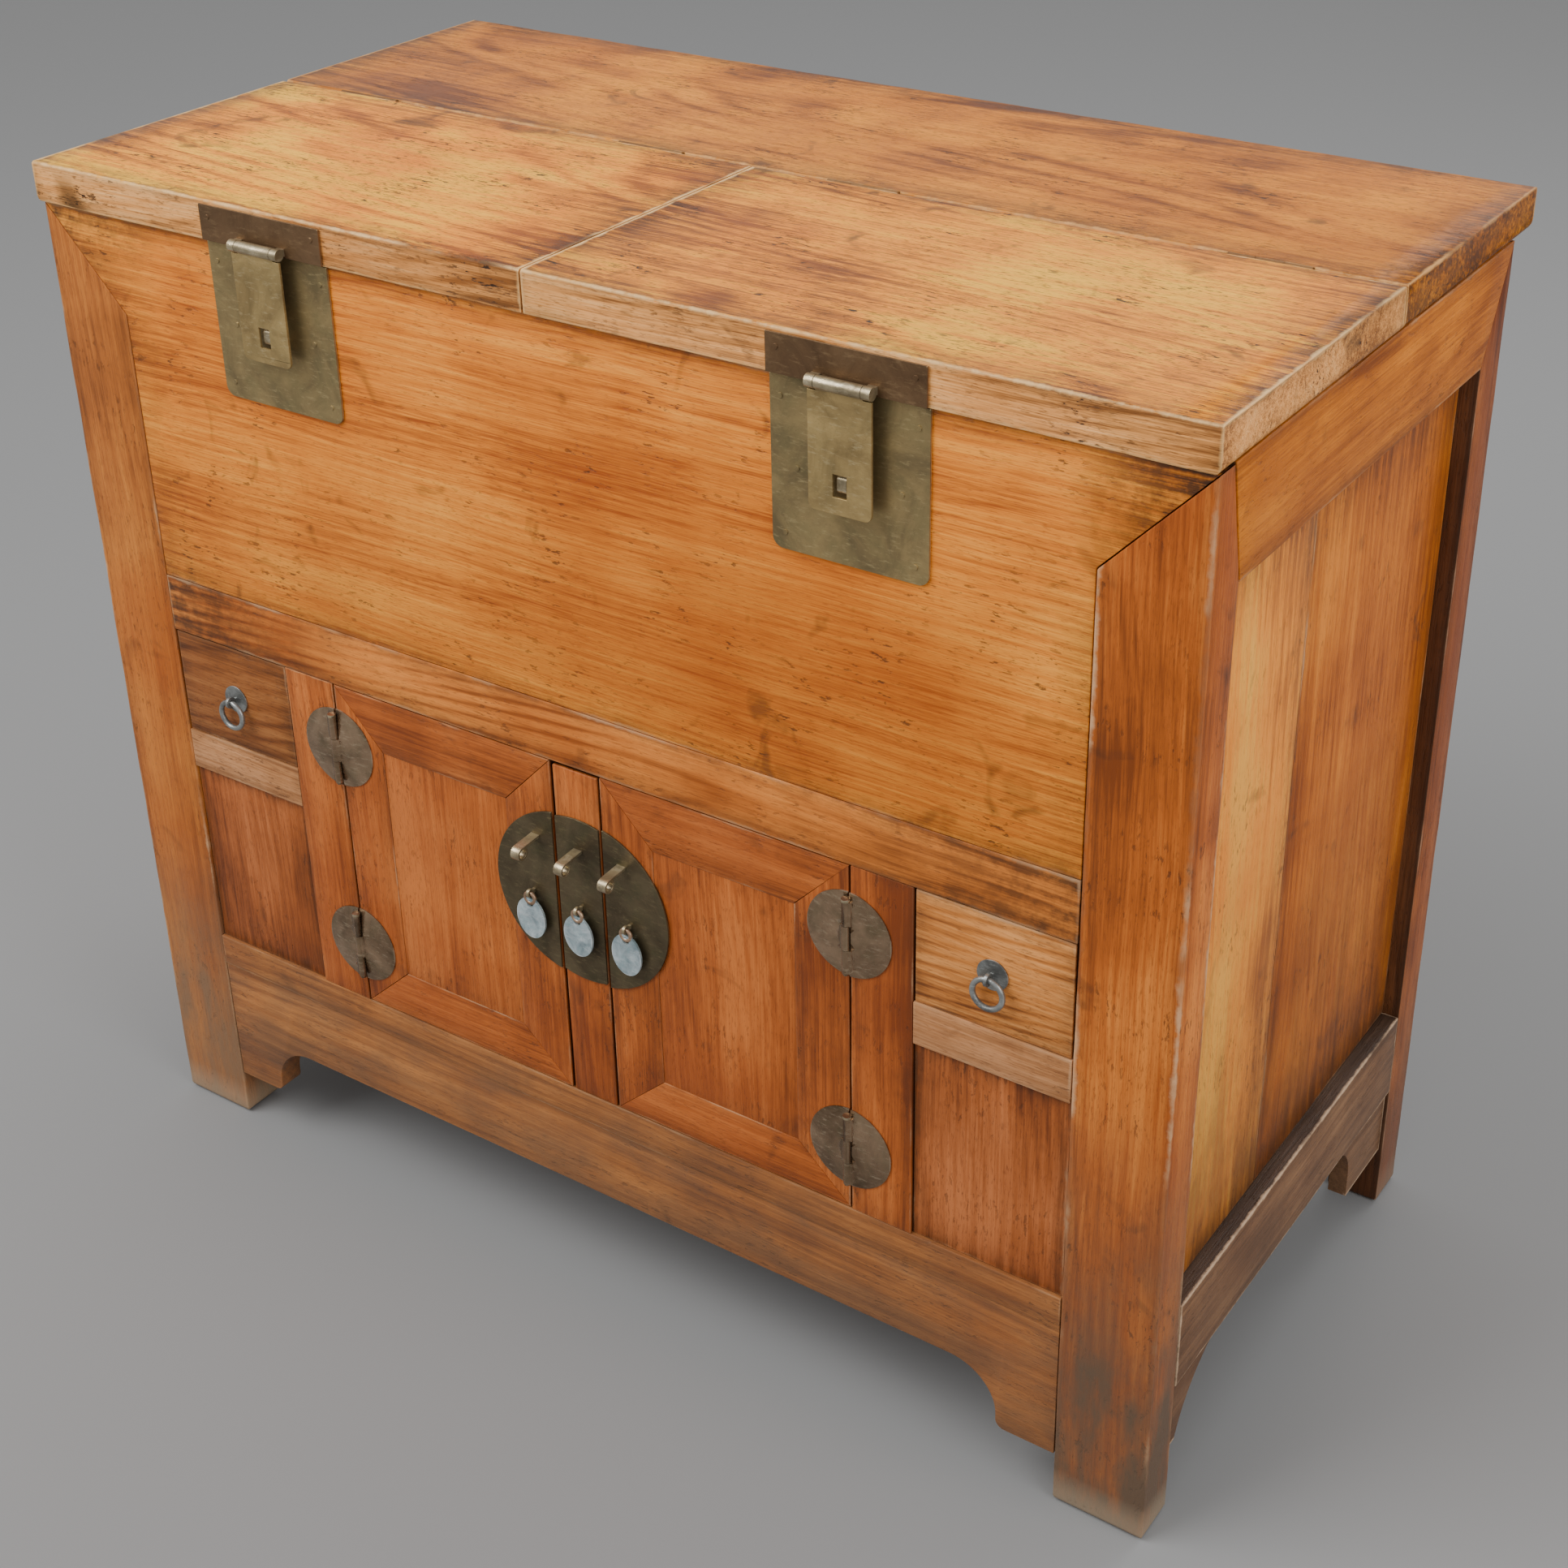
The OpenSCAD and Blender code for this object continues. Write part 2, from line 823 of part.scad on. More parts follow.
module door_frame(s) {
    g = 0.15;
    x0 = door_in;
    x1 = door_out;
    a = door_in + door_stile_w;
    b = door_out - door_stile_w;
    c = door_low + door_bottom_h;
    d = door_high - door_top_h;
    color("#a86430")
    placed() on_side(s) {
        along_y(face_set, face_set + door_t)
            polygon([[x0, door_low], [a, c], [a, d], [x0, door_high]]);
        along_y(face_set, face_set + door_t)
            polygon([[x1, door_low], [x1, door_high], [b, d], [b, c]]);
        along_y(face_set, face_set + door_t)
            polygon([[x0 + g, door_high], [a + g, d], [b - g, d], [x1 - g, door_high]]);
        along_y(face_set, face_set + door_t)
            polygon([[x0 + g, door_low], [x1 - g, door_low], [b - g, c], [a + g, c]]);
    }
}

module door_panel(s) {
    color("#a45a2a")
    placed() on_side(s)
        box(door_in + door_stile_w, door_out - door_stile_w, face_set + 0.5, face_set + 12,
            door_low + door_bottom_h, door_high - door_top_h);
}

// a strap staple: it slopes down from the plate and curls under, with the eye of the curl along X
module staple(x) {
    root = door_face + 0.2;
    curl_top = staple_z + staple_curl_r;
    along_x(x - staple_w / 2, x + staple_w / 2)
        difference() {
            union() {
                translate([staple_eye_y, staple_z])
                    circle(r = staple_curl_r);
                polygon([[staple_eye_y, curl_top - staple_strap_t], [staple_eye_y, curl_top],
                    [root, curl_top + staple_rise], [root, curl_top + staple_rise - staple_strap_t]]);
            }
            translate([staple_eye_y, staple_z])
                circle(r = staple_eye_r);
        }
}

// the small eye that a ring or a pendant swings in
module eye(x, y, z, face, rim_r, hole_r, t, neck_h) {
    along_x(x - t / 2, x + t / 2)
        difference() {
            union() {
                translate([y, z])
                    circle(r = rim_r);
                translate([y, z - neck_h / 2])
                    square([face + 0.2 - y, neck_h]);
            }
            translate([y, z])
                circle(r = hole_r);
        }
}

// the part of a round plate between x0 and x1, with the middle of its arc at mid
module round_plate(x0, x1, mid) {
    along_y(door_face, face_set)
        intersection() {
            translate([mid, lock_plate_z])
                circle(r = lock_plate_r);
            translate([x0, lock_plate_z - lock_plate_r - 1])
                square([x1 - x0, 2 * lock_plate_r + 2]);
        }
}

module door_plate(s) {
    color("#5a4f34")
    placed() on_side(s)
        union() {
            round_plate(door_in + 0.5, plate_spread + lock_plate_r + 1, plate_spread);
            staple(staple_step);
            eye(pendant_step, eye_y, pendant_z, door_face, eye_rim_r, eye_hole_r, eye_t, 3.4);
        }
}

module centre_plate() {
    color("#5a4f34")
    placed()
        union() {
            round_plate(-centre_half + 0.5, centre_half - 0.5, 0);
            staple(0);
            eye(0, eye_y, pendant_z, door_face, eye_rim_r, eye_hole_r, eye_t, 3.4);
        }
}

module centre_stile() {
    color("#9c5c2c")
    placed()
        union() {
            box(-centre_half, centre_half, face_set, face_set + centre_t, sill_z,
                head_z - centre_lift);
            box(-centre_half + 8, centre_half - 8, 8, 18, head_z - centre_lift - 1,
                head_z - centre_lift + 12);
            box(-centre_half + 8, centre_half - 8, 8, 18, sill_z - 2.5, sill_z + 1);
        }
}

// section of a domed hinge plate, from its middle outwards
module disc_section() {
    intersection() {
        square([disc_r, disc_edge + disc_dome]);
        translate([0, disc_edge + disc_dome - dome_r])
            circle(r = dome_r, $fn = 1440);
    }
}

// half of a domed hinge plate, on the +X side of the hinge axis at the origin
module half_disc(face) {
    intersection() {
        translate([0, face, 0])
            rotate([90, 0, 0])
                rotate_extrude()
                    disc_section();
        box(hinge_gap / 2, disc_r + 1, -20, face, -disc_r - 1, disc_r + 1);
    }
}

module web(face, z0, z1) {
    box(hinge_gap / 2, 4.5, -1, face, z0, z1);
}

// the half with the two outer knuckles and the pin
module hinge_outer(face) {
    gap = mid_knuckle_h / 2 + seat;
    end = barrel_h / 2;
    union() {
        difference() {
            half_disc(face);
            rod_z(-end - 2, end + 2, 0, 0, hinge_clear_r);
        }
        for (s = [-1, 1]) {
            rod_z(s > 0 ? gap : -end, s > 0 ? end : -gap, 0, 0, hinge_knuckle_r);
            web(face, s > 0 ? gap : -end, s > 0 ? end : -gap);
        }
        rod_z(-end - 1.5, end + 1.5, 0, 0, hinge_pin_r);
        rod_z(end, end + hinge_head_h, 0, 0, hinge_head_r);
        rod_z(-end - 1.5, -end, 0, 0, hinge_pin_r + 1);
    }
}

// the half with the middle knuckle
module hinge_inner(face) {
    mid = mid_knuckle_h / 2;
    end = barrel_h / 2;
    difference() {
        union() {
            difference() {
                half_disc(face);
                rod_z(-end - 3, end + 3, 0, 0, hinge_clear_r);
            }
            rod_z(-mid, mid, 0, 0, hinge_knuckle_r);
            web(face, -mid, mid);
        }
        rod_z(-mid - 1, mid + 1, 0, 0, hinge_pin_r + run_fit);
    }
}

module door_hinges_fixed() {
    color("#4e4436")
    placed()
        for (s = [-1, 1])
            for (z = [low_hinge_z, high_hinge_z])
                on_side(s)
                    translate([hinge_x, hinge_y, z])
                        hinge_outer(-hinge_y);
}

module door_hinges(s) {
    color("#4e4436")
    placed() on_side(s)
        for (z = [low_hinge_z, high_hinge_z])
            translate([hinge_x, hinge_y, z])
                mirror([1, 0, 0])
                    hinge_inner(-hinge_y + face_set);
}

// drawers

module drawer_front(s) {
    color("#b47a3c")
    placed() on_side(s)
        box(stile_out + drawer_gap, in_x - drawer_gap, drawer_set, drawer_set + drawer_front_t,
            drawer_z + seat, head_z - drawer_gap);
}

module drawer_box(s) {
    x0 = stile_out + 2;
    x1 = in_x - 2;
    y0 = drawer_set + drawer_front_t;
    y1 = drawer_set + drawer_l;
    z0 = drawer_z + seat;
    z1 = head_z - 12;
    t = drawer_board_t;
    color("#a47848")
    placed() on_side(s)
        union() {
            box(x0, x0 + t, y0, y1, z0, z1);
            box(x1 - t, x1, y0, y1, z0, z1);
            box(x0, x1, y1 - t, y1, z0, z1);
            box(x0, x1, y0, y1, z0, z0 + t);
        }
}

module drawer_pull(s) {
    color("#77777a")
    placed() on_side(s)
        union() {
            rod_y(pull_face, drawer_set, pull_x, pull_z, rosette_r);
            eye(pull_x, pull_y, pull_z, pull_face, pull_rim_r, pull_hole_r, pull_eye_t, 4);
        }
}

module ring(s) {
    color("#77777a")
    placed() on_side(s)
        translate([pull_x, pull_y, pull_z - pull_ring_r])
            rotate([90, 0, 0])
                rotate_extrude()
                    translate([pull_ring_r, 0])
                        circle(r = pull_wire_r, $fn = 32);
}

// a thin oval tag with a hole near its top, hung by a loop
module pendant(x) {
    half_w0 = pendant_w / 2;
    half_h = (pendant_l - tag_drop) / 2;
    mid = pendant_z - pendant_l + half_h;
    color("#a8b4b8")
    placed()
        union() {
            translate([x, eye_y, pendant_z - loop_r])
                rotate([90, 0, 0])
                    rotate_extrude()
                        translate([loop_r, 0])
                            circle(r = loop_wire_r, $fn = 24);
            along_y(eye_y - pendant_t / 2, eye_y + pendant_t / 2)
                difference() {
                    polygon([for (a = [0:6:354]) [x + half_w0 * cos(a), mid + half_h * sin(a)]]);
                    translate([x, pendant_z - tag_hole_drop])
                        circle(r = tag_hole_r);
                }
        }
}

// one line for each node

front_post(-1);  // front_post_left
front_post(1);  // front_post_right
rear_post(-1);  // rear_post_left
rear_post(1);  // rear_post_right
front_panel();
middle_rail();
bottom_rail();
front_apron();
inner_stile(-1);  // inner_stile_left
inner_stile(1);  // inner_stile_right
drawer_rails();
lower_panels();
side_top_rail(-1);  // side_top_rail_left
side_top_rail(1);  // side_top_rail_right
side_bottom_rail(-1);  // side_bottom_rail_left
side_bottom_rail(1);  // side_bottom_rail_right
side_brackets();
side_panel(-1);  // side_panel_left
side_panel(1);  // side_panel_right
rear_rails();
back_panel();
seam_rail();
coin_floor();
cupboard_floor();
drawer_housings();
rear_top_board();
lid_hinges_fixed();
lock_plate(0);  // lock_plate_left
lock_plate(1);  // lock_plate_right
door_hinges_fixed();
lid_board(0);  // lid_left_board
lid_plate(0);  // lid_left_plate
lid_hinges(0);  // lid_left_hinges
lid_board(1);  // lid_right_board
lid_plate(1);  // lid_right_plate
lid_hinges(1);  // lid_right_hinges
hasp(0);  // hasp_left
hasp(1);  // hasp_right
door_frame(-1);  // door_left_frame
door_panel(-1);  // door_left_panel
door_plate(-1);  // door_left_plate
door_hinges(-1);  // door_left_hinges
door_frame(1);  // door_right_frame
door_panel(1);  // door_right_panel
door_plate(1);  // door_right_plate
door_hinges(1);  // door_right_hinges
centre_stile();
centre_plate();
drawer_front(-1);  // drawer_left_front
drawer_box(-1);  // drawer_left_box
drawer_pull(-1);  // drawer_left_pull
drawer_front(1);  // drawer_right_front
drawer_box(1);  // drawer_right_box
drawer_pull(1);  // drawer_right_pull
ring(-1);  // ring_left
ring(1);  // ring_right
pendant(-pendant_step);  // pendant_left
pendant(0);  // pendant_centre
pendant(pendant_step);  // pendant_right
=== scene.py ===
"""An old elm money chest: every visible piece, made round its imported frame."""

import logging
import math
import random
from dataclasses import dataclass, replace
from enum import Enum
from functools import cache
from typing import Callable, Sequence

import bpy
from mathutils import Matrix, Vector


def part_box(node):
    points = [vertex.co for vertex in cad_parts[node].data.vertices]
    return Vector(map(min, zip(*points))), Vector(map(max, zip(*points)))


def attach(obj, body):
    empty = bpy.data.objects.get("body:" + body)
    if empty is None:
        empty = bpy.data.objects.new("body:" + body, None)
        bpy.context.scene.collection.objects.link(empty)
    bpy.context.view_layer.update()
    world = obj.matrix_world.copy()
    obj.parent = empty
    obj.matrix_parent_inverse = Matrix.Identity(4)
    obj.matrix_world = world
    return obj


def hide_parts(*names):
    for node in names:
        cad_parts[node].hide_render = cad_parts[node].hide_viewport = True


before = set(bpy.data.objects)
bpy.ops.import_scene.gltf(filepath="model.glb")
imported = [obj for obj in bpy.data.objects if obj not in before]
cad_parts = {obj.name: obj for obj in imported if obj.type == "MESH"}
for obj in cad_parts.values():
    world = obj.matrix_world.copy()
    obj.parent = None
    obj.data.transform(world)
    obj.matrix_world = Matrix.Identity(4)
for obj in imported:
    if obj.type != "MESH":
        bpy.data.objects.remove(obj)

LOG = logging.getLogger("money_chest")
MM = 0.001
# the sharpest turn between two faces that still shades smooth
SMOOTH_DEGREES = 40.0
# lets a test on a face's place pass on the face's own plane
HAIR = 0.00001
# the least cosine between a face's normal and the way that it counts as looking
FACING = 0.9
# near black for faces down in the joints: old dirt and painted shade
BLACK_DIRT_AND_SHADE = "#1c0e06"
FLOOR_DUST = "#a8957c"
Piece = bpy.types.Object
Material = bpy.types.Material
Tree = bpy.types.NodeTree
Socket = bpy.types.NodeSocket
Point = Sequence[float]


# colours and nodes

def linear(code: str) -> tuple[float, float, float, float]:
    """Turn an sRGB colour into linear light.

    Args:
        code: the colour as '#rrggbb'.

    Returns:
        Red, green and blue in linear light, and full opacity.
    """
    parts = [int(code[i:i + 2], 16) / 255 for i in (1, 3, 5)]
    flat = [p / 12.92 if p <= 0.04045 else ((p + 0.055) / 1.055) ** 2.4 for p in parts]
    return (flat[0], flat[1], flat[2], 1.0)


def put(tree: Tree, kind: str, inputs: dict | None = None,
        **settings: object) -> bpy.types.NodeOutputs:
    """Add a node with its settings, and fill or link its inputs.

    Args:
        tree: the material's node tree.
        kind: the node's type, without the ShaderNode in front.
        inputs: for each input's name or number, a value or an output to link.
        settings: the node's own properties.

    Returns:
        The new node's outputs.
    """
    node = tree.nodes.new("ShaderNode" + kind)
    for name, value in settings.items():
        setattr(node, name, value)
    for name, value in (inputs or {}).items():
        if isinstance(value, Socket):
            tree.links.new(value, node.inputs[name])
        else:
            node.inputs[name].default_value = value
    return node.outputs


def ramp_stops(ramp: Socket, stops: Sequence[tuple[float, str]]) -> None:
    """Give a colour ramp its stops.

    Args:
        ramp: the ramp's colour output.
        stops: each stop's place and sRGB colour.
    """
    points = ramp.node.color_ramp.elements
    while len(points) < len(stops):
        points.new(0.5)
    for point, (place, code) in zip(points, stops):
        point.position = place
        point.color = linear(code)


class Grain(Enum):
    """Which way a board's grain runs, as the turn that brings it onto X."""

    X = (0.0, 0.0, 0.0)
    Y = (0.0, 0.0, -math.pi / 2)
    Z = (0.0, math.pi / 2, 0.0)

    @property
    def axis(self) -> int:
        """The number of the axis that the grain runs along."""
        return "XYZ".index(self.name)


@dataclass(frozen=True)
class Elm:
    """Northern elm, pit sawn and hand planed, oiled, waxed and rubbed for a century.

    It gives the eye fine streaks and short dark pores along the grain, growth rings that
    swing into arches here and there, soft clouds of colour, dirt packed beside the joints,
    pale bare wood along the arrises that on the top boards is also a painted highlight, and
    painted shade, mixed with grime, down in the joints, at some ends and towards the bottom.
    """

    name: str
    light: str
    mid: str
    dark: str
    red: str = "#a84a10"
    ring_mm: float = 9.0
    rings: float = 0.22
    bands: float = 0.55
    streaks: float = 0.55
    fibre: float = 0.42
    blotch: float = 0.95
    sway_mm: float = 16.0
    pores: float = 0.50
    marks: float = 0.45
    checks: float = 0.0
    worn_and_highlight: str = "#d9ab80"
    wear_mm: float = 1.3
    wear: float = 0.60
    wear_run: float = 0.50
    dirt: float = 0.50
    dirt_mm: float = 16.0
    soil: str = "#3c291d"
    ends: float = 0.0
    ends_mm: float = 70.0
    rough: float = 0.42
    foot: float = 0.0
    foot_top: float = 0.30
    low_tone: str = "#64503f"
    joint: float = 0.0
    fineness: float = 1.0

    @cache
    def material(self, grain: Grain) -> Material:
        """Build the finish for boards with one grain direction.

        Args:
            grain: which way the grain runs.

        Returns:
            The material.
        """
        made = bpy.data.materials.new(f"elm_{self.name}_{grain.name.lower()}")
        made.use_nodes = True
        t = made.node_tree
        t.nodes.clear()
        place = put(t, "TexCoord")["Object"]
        # each board is sawn from its own place in the log
        cut = put(t, "Attribute", attribute_name="cut")["Vector"]
        moved = put(t, "VectorMath", {0: place, 1: cut}, operation="ADD")[0]
        wood = put(t, "Mapping", {"Vector": moved, "Rotation": grain.value})[0]
        swung = self.swing(t, wood)
        late = self.growth(t, swung)
        # broad bands about 45 mm wide, streaks about 5 mm and fibres about 1.5 mm
        broad = self.stretched(t, swung, 1.6, 22.0, 2.0)
        wide = self.stretched(t, swung, 5.0, 190.0 * self.fineness, 7.0)
        fine = self.stretched(t, swung, 13.0, 680.0 * self.fineness, 2.0)
        patch = put(t, "TexNoise", {"Vector": moved, "Scale": 5.5, "Detail": 5.0,
                                    "Roughness": 0.6})["Fac"]
        tone = 0.5 - 0.5 * (self.bands + self.streaks + self.fibre + self.blotch)
        tone = tone + 0.2 * self.rings
        for pattern, amount in ((broad, self.bands), (wide, self.streaks), (fine, self.fibre),
                                (patch, self.blotch), (late, -self.rings)):
            tone = put(t, "Math", {0: pattern, 1: amount, 2: tone}, operation="MULTIPLY_ADD")[0]
        hue = put(t, "ValToRGB", {"Fac": tone})[0]
        ramp_stops(hue, [(0.26, self.dark), (0.50, self.mid), (0.74, self.light)])
        # redder clouds, a hand across
        cloud = put(t, "TexNoise", {"Vector": wood, "Scale": 4.3, "Detail": 4.0})["Fac"]
        cloud = put(t, "MapRange", {"Value": cloud, "From Min": 0.48, "From Max": 0.72,
                                    "To Max": 0.55})[0]
        # pores: short dark dashes along the grain, a millimetre across
        pore = self.stretched(t, swung, 130.0, 1000.0, 2.0)
        pore = put(t, "MapRange", {"Value": pore, "From Min": 0.56, "From Max": 0.70,
                                   "To Max": self.pores})[0]
        # knocks and burns in clusters, longer along the grain
        crowd = put(t, "TexNoise", {"Vector": moved, "Scale": 19.0, "Detail": 3.0})["Fac"]
        crowd = put(t, "MapRange", {"Value": crowd, "From Min": 0.46, "From Max": 0.62})[0]
        knock = self.stretched(t, swung, 95.0, 300.0, 3.0)
        knock = put(t, "MapRange", {"Value": knock, "From Min": 0.595, "From Max": 0.65})[0]
        knock = put(t, "Math", {0: knock, 1: crowd}, operation="MULTIPLY")[0]
        spot = put(t, "Math", {0: knock, 1: self.marks}, operation="MULTIPLY")[0]
        # rare smudges, a thumb across
        smudge = put(t, "TexNoise", {"Vector": moved, "Scale": 24.0, "Detail": 3.0,
                                     "Distortion": 0.8})["Fac"]
        smudge = put(t, "MapRange", {"Value": smudge, "From Min": 0.64, "From Max": 0.74,
                                     "To Max": 0.7 * self.marks})[0]
        # dry checks, thin dark lines that wander along the grain
        check = self.stretched(t, swung, 7.0, 90.0, 6.0)
        check = put(t, "Math", {0: check, 1: 0.5}, operation="SUBTRACT")[0]
        check = put(t, "Math", {0: check}, operation="ABSOLUTE")[0]
        check = put(t, "MapRange", {"Value": check, "From Min": 0.010, "From Max": 0.002,
                                    "To Max": self.checks})[0]
        check = put(t, "Math", {0: check, 1: crowd}, operation="MULTIPLY")[0]
        # how far the nearest arris of the board is, in metres
        depth = arris_depth(t)
        side = put(t, "SeparateXYZ", {0: depth})
        edge = nearest_arris(t, side)
        # dirt and old wax lie beside the joints, scraped thin along the grain
        ragged = put(t, "TexNoise", {"Vector": moved, "Scale": 60.0, "Detail": 4.0,
                                     "Roughness": 0.7})["Fac"]
        scraped = put(t, "Math", {0: ragged, 1: wide}, operation="ADD")[0]
        scraped = put(t, "MapRange", {"Value": scraped, "From Min": 1.16, "From Max": 0.88,
                                      "To Min": 0.25})[0]
        smear = put(t, "TexNoise", {"Vector": moved, "Scale": 15.0, "Detail": 5.0,
                                    "Roughness": 0.65})["Fac"]
        reach = put(t, "Math", {0: smear, 1: 2.2 * self.dirt_mm * MM}, operation="MULTIPLY")
        soiled = put(t, "MapRange", {"Value": edge, "From Min": reach[0], "From Max": 0.0})[0]
        soiled = put(t, "Math", {0: soiled, 1: 1.4}, operation="POWER")[0]
        soiled = put(t, "Math", {0: soiled, 1: 1.2 * self.dirt}, operation="MULTIPLY")[0]
        soiled = put(t, "Math", {0: soiled, 1: scraped}, operation="MULTIPLY")[0]
        # the ends of a board along its grain go dark, scraped along the grain too: grime from
        # handling, and painted shade where the ends meet posts and rails
        along = side[grain.axis]
        reach = put(t, "Math", {0: smear, 1: 2.2 * self.ends_mm * MM}, operation="MULTIPLY")
        dark_ends = put(t, "MapRange", {"Value": along, "From Min": reach[0], "From Max": 0.0,
                                      "To Max": 1.3 * self.ends})[0]
        dark_ends = put(t, "Math", {0: dark_ends, 1: scraped}, operation="MULTIPLY")[0]
        # pale bare wood along the arrises, in broken runs; on the top boards it is also a painted
        # highlight along the glossy rounded arris
        reach = 2.2 * self.wear_mm * MM
        bare_and_highlight = put(t, "Math", {0: ragged, 1: 2.0 * reach, 2: edge}, operation="MULTIPLY_ADD")[0]
        bare_and_highlight = put(t, "MapRange", {"Value": bare_and_highlight, "From Min": 1.9 * reach, "From Max": 1.25 * reach,
                                   "To Max": self.wear})[0]
        run = put(t, "TexNoise", {"Vector": moved, "Scale": 11.0, "Detail": 3.0})["Fac"]
        run = put(t, "MapRange", {"Value": run, "From Min": 0.70 - 0.4 * self.wear_run,
                                  "From Max": 0.80 - 0.4 * self.wear_run, "To Min": 0.12})[0]
        bare_and_highlight = put(t, "Math", {0: bare_and_highlight, 1: run}, operation="MULTIPLY")[0]
        # the narrow faces down in a joint or gap are painted near black: old dirt, and painted
        # shade of the gap
        thin = put(t, "Attribute", attribute_name="thin")["Vector"]
        sunk = put(t, "VectorMath", {0: depth, 1: thin}, operation="DOT_PRODUCT")["Value"]
        sunk = put(t, "MapRange", {"Value": sunk, "From Min": 0.0008, "From Max": 0.0030,
                                   "To Max": self.joint})[0]
        # low wood goes darker towards the bottom: a grey-brown wash from wet floors and their dirt
        # on posts and aprons, and on the side boards painted shade with grime
        height = put(t, "SeparateXYZ", {0: place})[2]
        low = put(t, "Math", {0: smear, 1: 0.30, 2: -0.04}, operation="MULTIPLY_ADD")[0]
        grey = put(t, "MapRange", {"Value": height, "From Min": self.foot_top, "From Max": low,
                                   "To Max": self.foot})[0]
        mottle = self.stretched(t, swung, 9.0, 34.0, 4.0)
        mottle = put(t, "MapRange", {"Value": mottle, "From Min": 0.40, "From Max": 0.58,
                                     "To Min": 0.60})[0]
        grey = put(t, "Math", {0: grey, 1: mottle}, operation="MULTIPLY")[0]
        # the last centimetre, bleached and dusty
        dust = put(t, "MapRange", {"Value": height, "From Min": 0.034, "From Max": 0.006,
                                   "To Max": 0.6 * self.foot})[0]
        base = hue
        for amount, code in ((cloud, self.red), (pore, self.dark), (spot, self.soil),
                             (smudge, self.soil), (check, self.soil), (soiled, self.soil),
                             (dark_ends, self.soil), (bare_and_highlight, self.worn_and_highlight), (sunk, BLACK_DIRT_AND_SHADE),
                             (grey, self.low_tone), (dust, FLOOR_DUST)):
            base = put(t, "MixRGB", {"Fac": amount, "Color1": base, "Color2": linear(code)})[0]
        gloss = put(t, "Math", {0: patch, 1: 0.22, 2: self.rough - 0.11},
                    operation="MULTIPLY_ADD")[0]
        gloss = put(t, "Math", {0: bare_and_highlight, 1: 0.16, 2: gloss}, operation="MULTIPLY_ADD")[0]
        rise = fine
        for pattern, amount in ((pore, -0.9), (knock, -2.5), (check, -2.5), (late, -0.4),
                                (wide, 0.6)):
            rise = put(t, "Math", {0: pattern, 1: amount, 2: rise}, operation="MULTIPLY_ADD")[0]
        bump = put(t, "Bump", {"Height": rise, "Strength": 0.38, "Distance": 0.0007})
        skin = put(t, "BsdfPrincipled", {"Base Color": base, "Roughness": gloss, "Normal": bump[0],
                                         "IOR": 1.45, "Specular IOR Level": 0.22})
        put(t, "OutputMaterial", {"Surface": skin[0]})
        return made

    def swing(self, t: Tree, wood: Socket) -> Socket:
        """Let the grain wander slowly, over 400 mm along and 90 mm across.

        Args:
            t: the material's node tree.
            wood: the place in the log.

        Returns:
            The place with the wander added.
        """
        slow_at = put(t, "Mapping", {"Vector": wood, "Scale": (2.5, 11.0, 11.0)})[0]
        slow = put(t, "TexNoise", {"Vector": slow_at, "Scale": 1.0, "Detail": 2.0})
        sway = put(t, "VectorMath", {0: slow["Color"], 1: (0.5, 0.5, 0.5)}, operation="SUBTRACT")[0]
        sway = put(t, "VectorMath", {0: sway, "Scale": self.sway_mm * MM}, operation="SCALE")[0]
        return put(t, "VectorMath", {0: wood, 1: sway}, operation="ADD")[0]

    def growth(self, t: Tree, swung: Socket) -> Socket:
        """Draw the dark late wood of the growth rings round a leaning pith.

        Args:
            t: the material's node tree.
            swung: the place in the log, with its wander.

        Returns:
            How dark the ring is at each place.
        """
        lean = put(t, "Mapping", {"Vector": swung, "Rotation": (0.0, 0.09, 0.07)})[0]
        pith = put(t, "Mapping", {"Vector": lean, "Scale": (0.16, 1.0, 1.0)})[0]
        rings = put(t, "TexWave", {"Vector": pith, "Scale": 314.0 / self.ring_mm, "Distortion": 5.0,
                                   "Detail": 3.0, "Detail Scale": 0.30, "Detail Roughness": 0.55},
                    wave_type="RINGS", rings_direction="X", wave_profile="SIN")
        late = put(t, "Math", {0: rings["Fac"], 1: 2.4}, operation="POWER")[0]
        show = self.stretched(t, swung, 3.0, 13.0, 2.0)
        show = put(t, "MapRange", {"Value": show, "From Min": 0.36, "From Max": 0.70})[0]
        return put(t, "Math", {0: late, 1: show}, operation="MULTIPLY")[0]

    def stretched(self, t: Tree, at: Socket, along: float, across: float,
                  detail: float) -> Socket:
        """Make a noise that is drawn out along the grain.

        Args:
            t: the material's node tree.
            at: the place in the log.
            along: how many features a metre holds along the grain.
            across: how many it holds across.
            detail: the noise's detail.

        Returns:
            The noise.
        """
        drawn = put(t, "Mapping", {"Vector": at, "Scale": (along, across, across)})[0]
        return put(t, "TexNoise", {"Vector": drawn, "Scale": 1.0, "Detail": detail,
                                   "Roughness": 0.6})["Fac"]


def arris_depth(t: Tree) -> Socket:
    """Measure how far a place lies inside its board's outline, along X, Y and Z.

    Args:
        t: the material's node tree.

    Returns:
        The three distances in metres, as a vector.
    """
    at = put(t, "Attribute", attribute_name="edge_at")["Vector"]
    half = put(t, "Attribute", attribute_name="edge_half")["Vector"]
    depth = put(t, "VectorMath", {0: at}, operation="ABSOLUTE")[0]
    return put(t, "VectorMath", {0: half, 1: depth}, operation="SUBTRACT")[0]


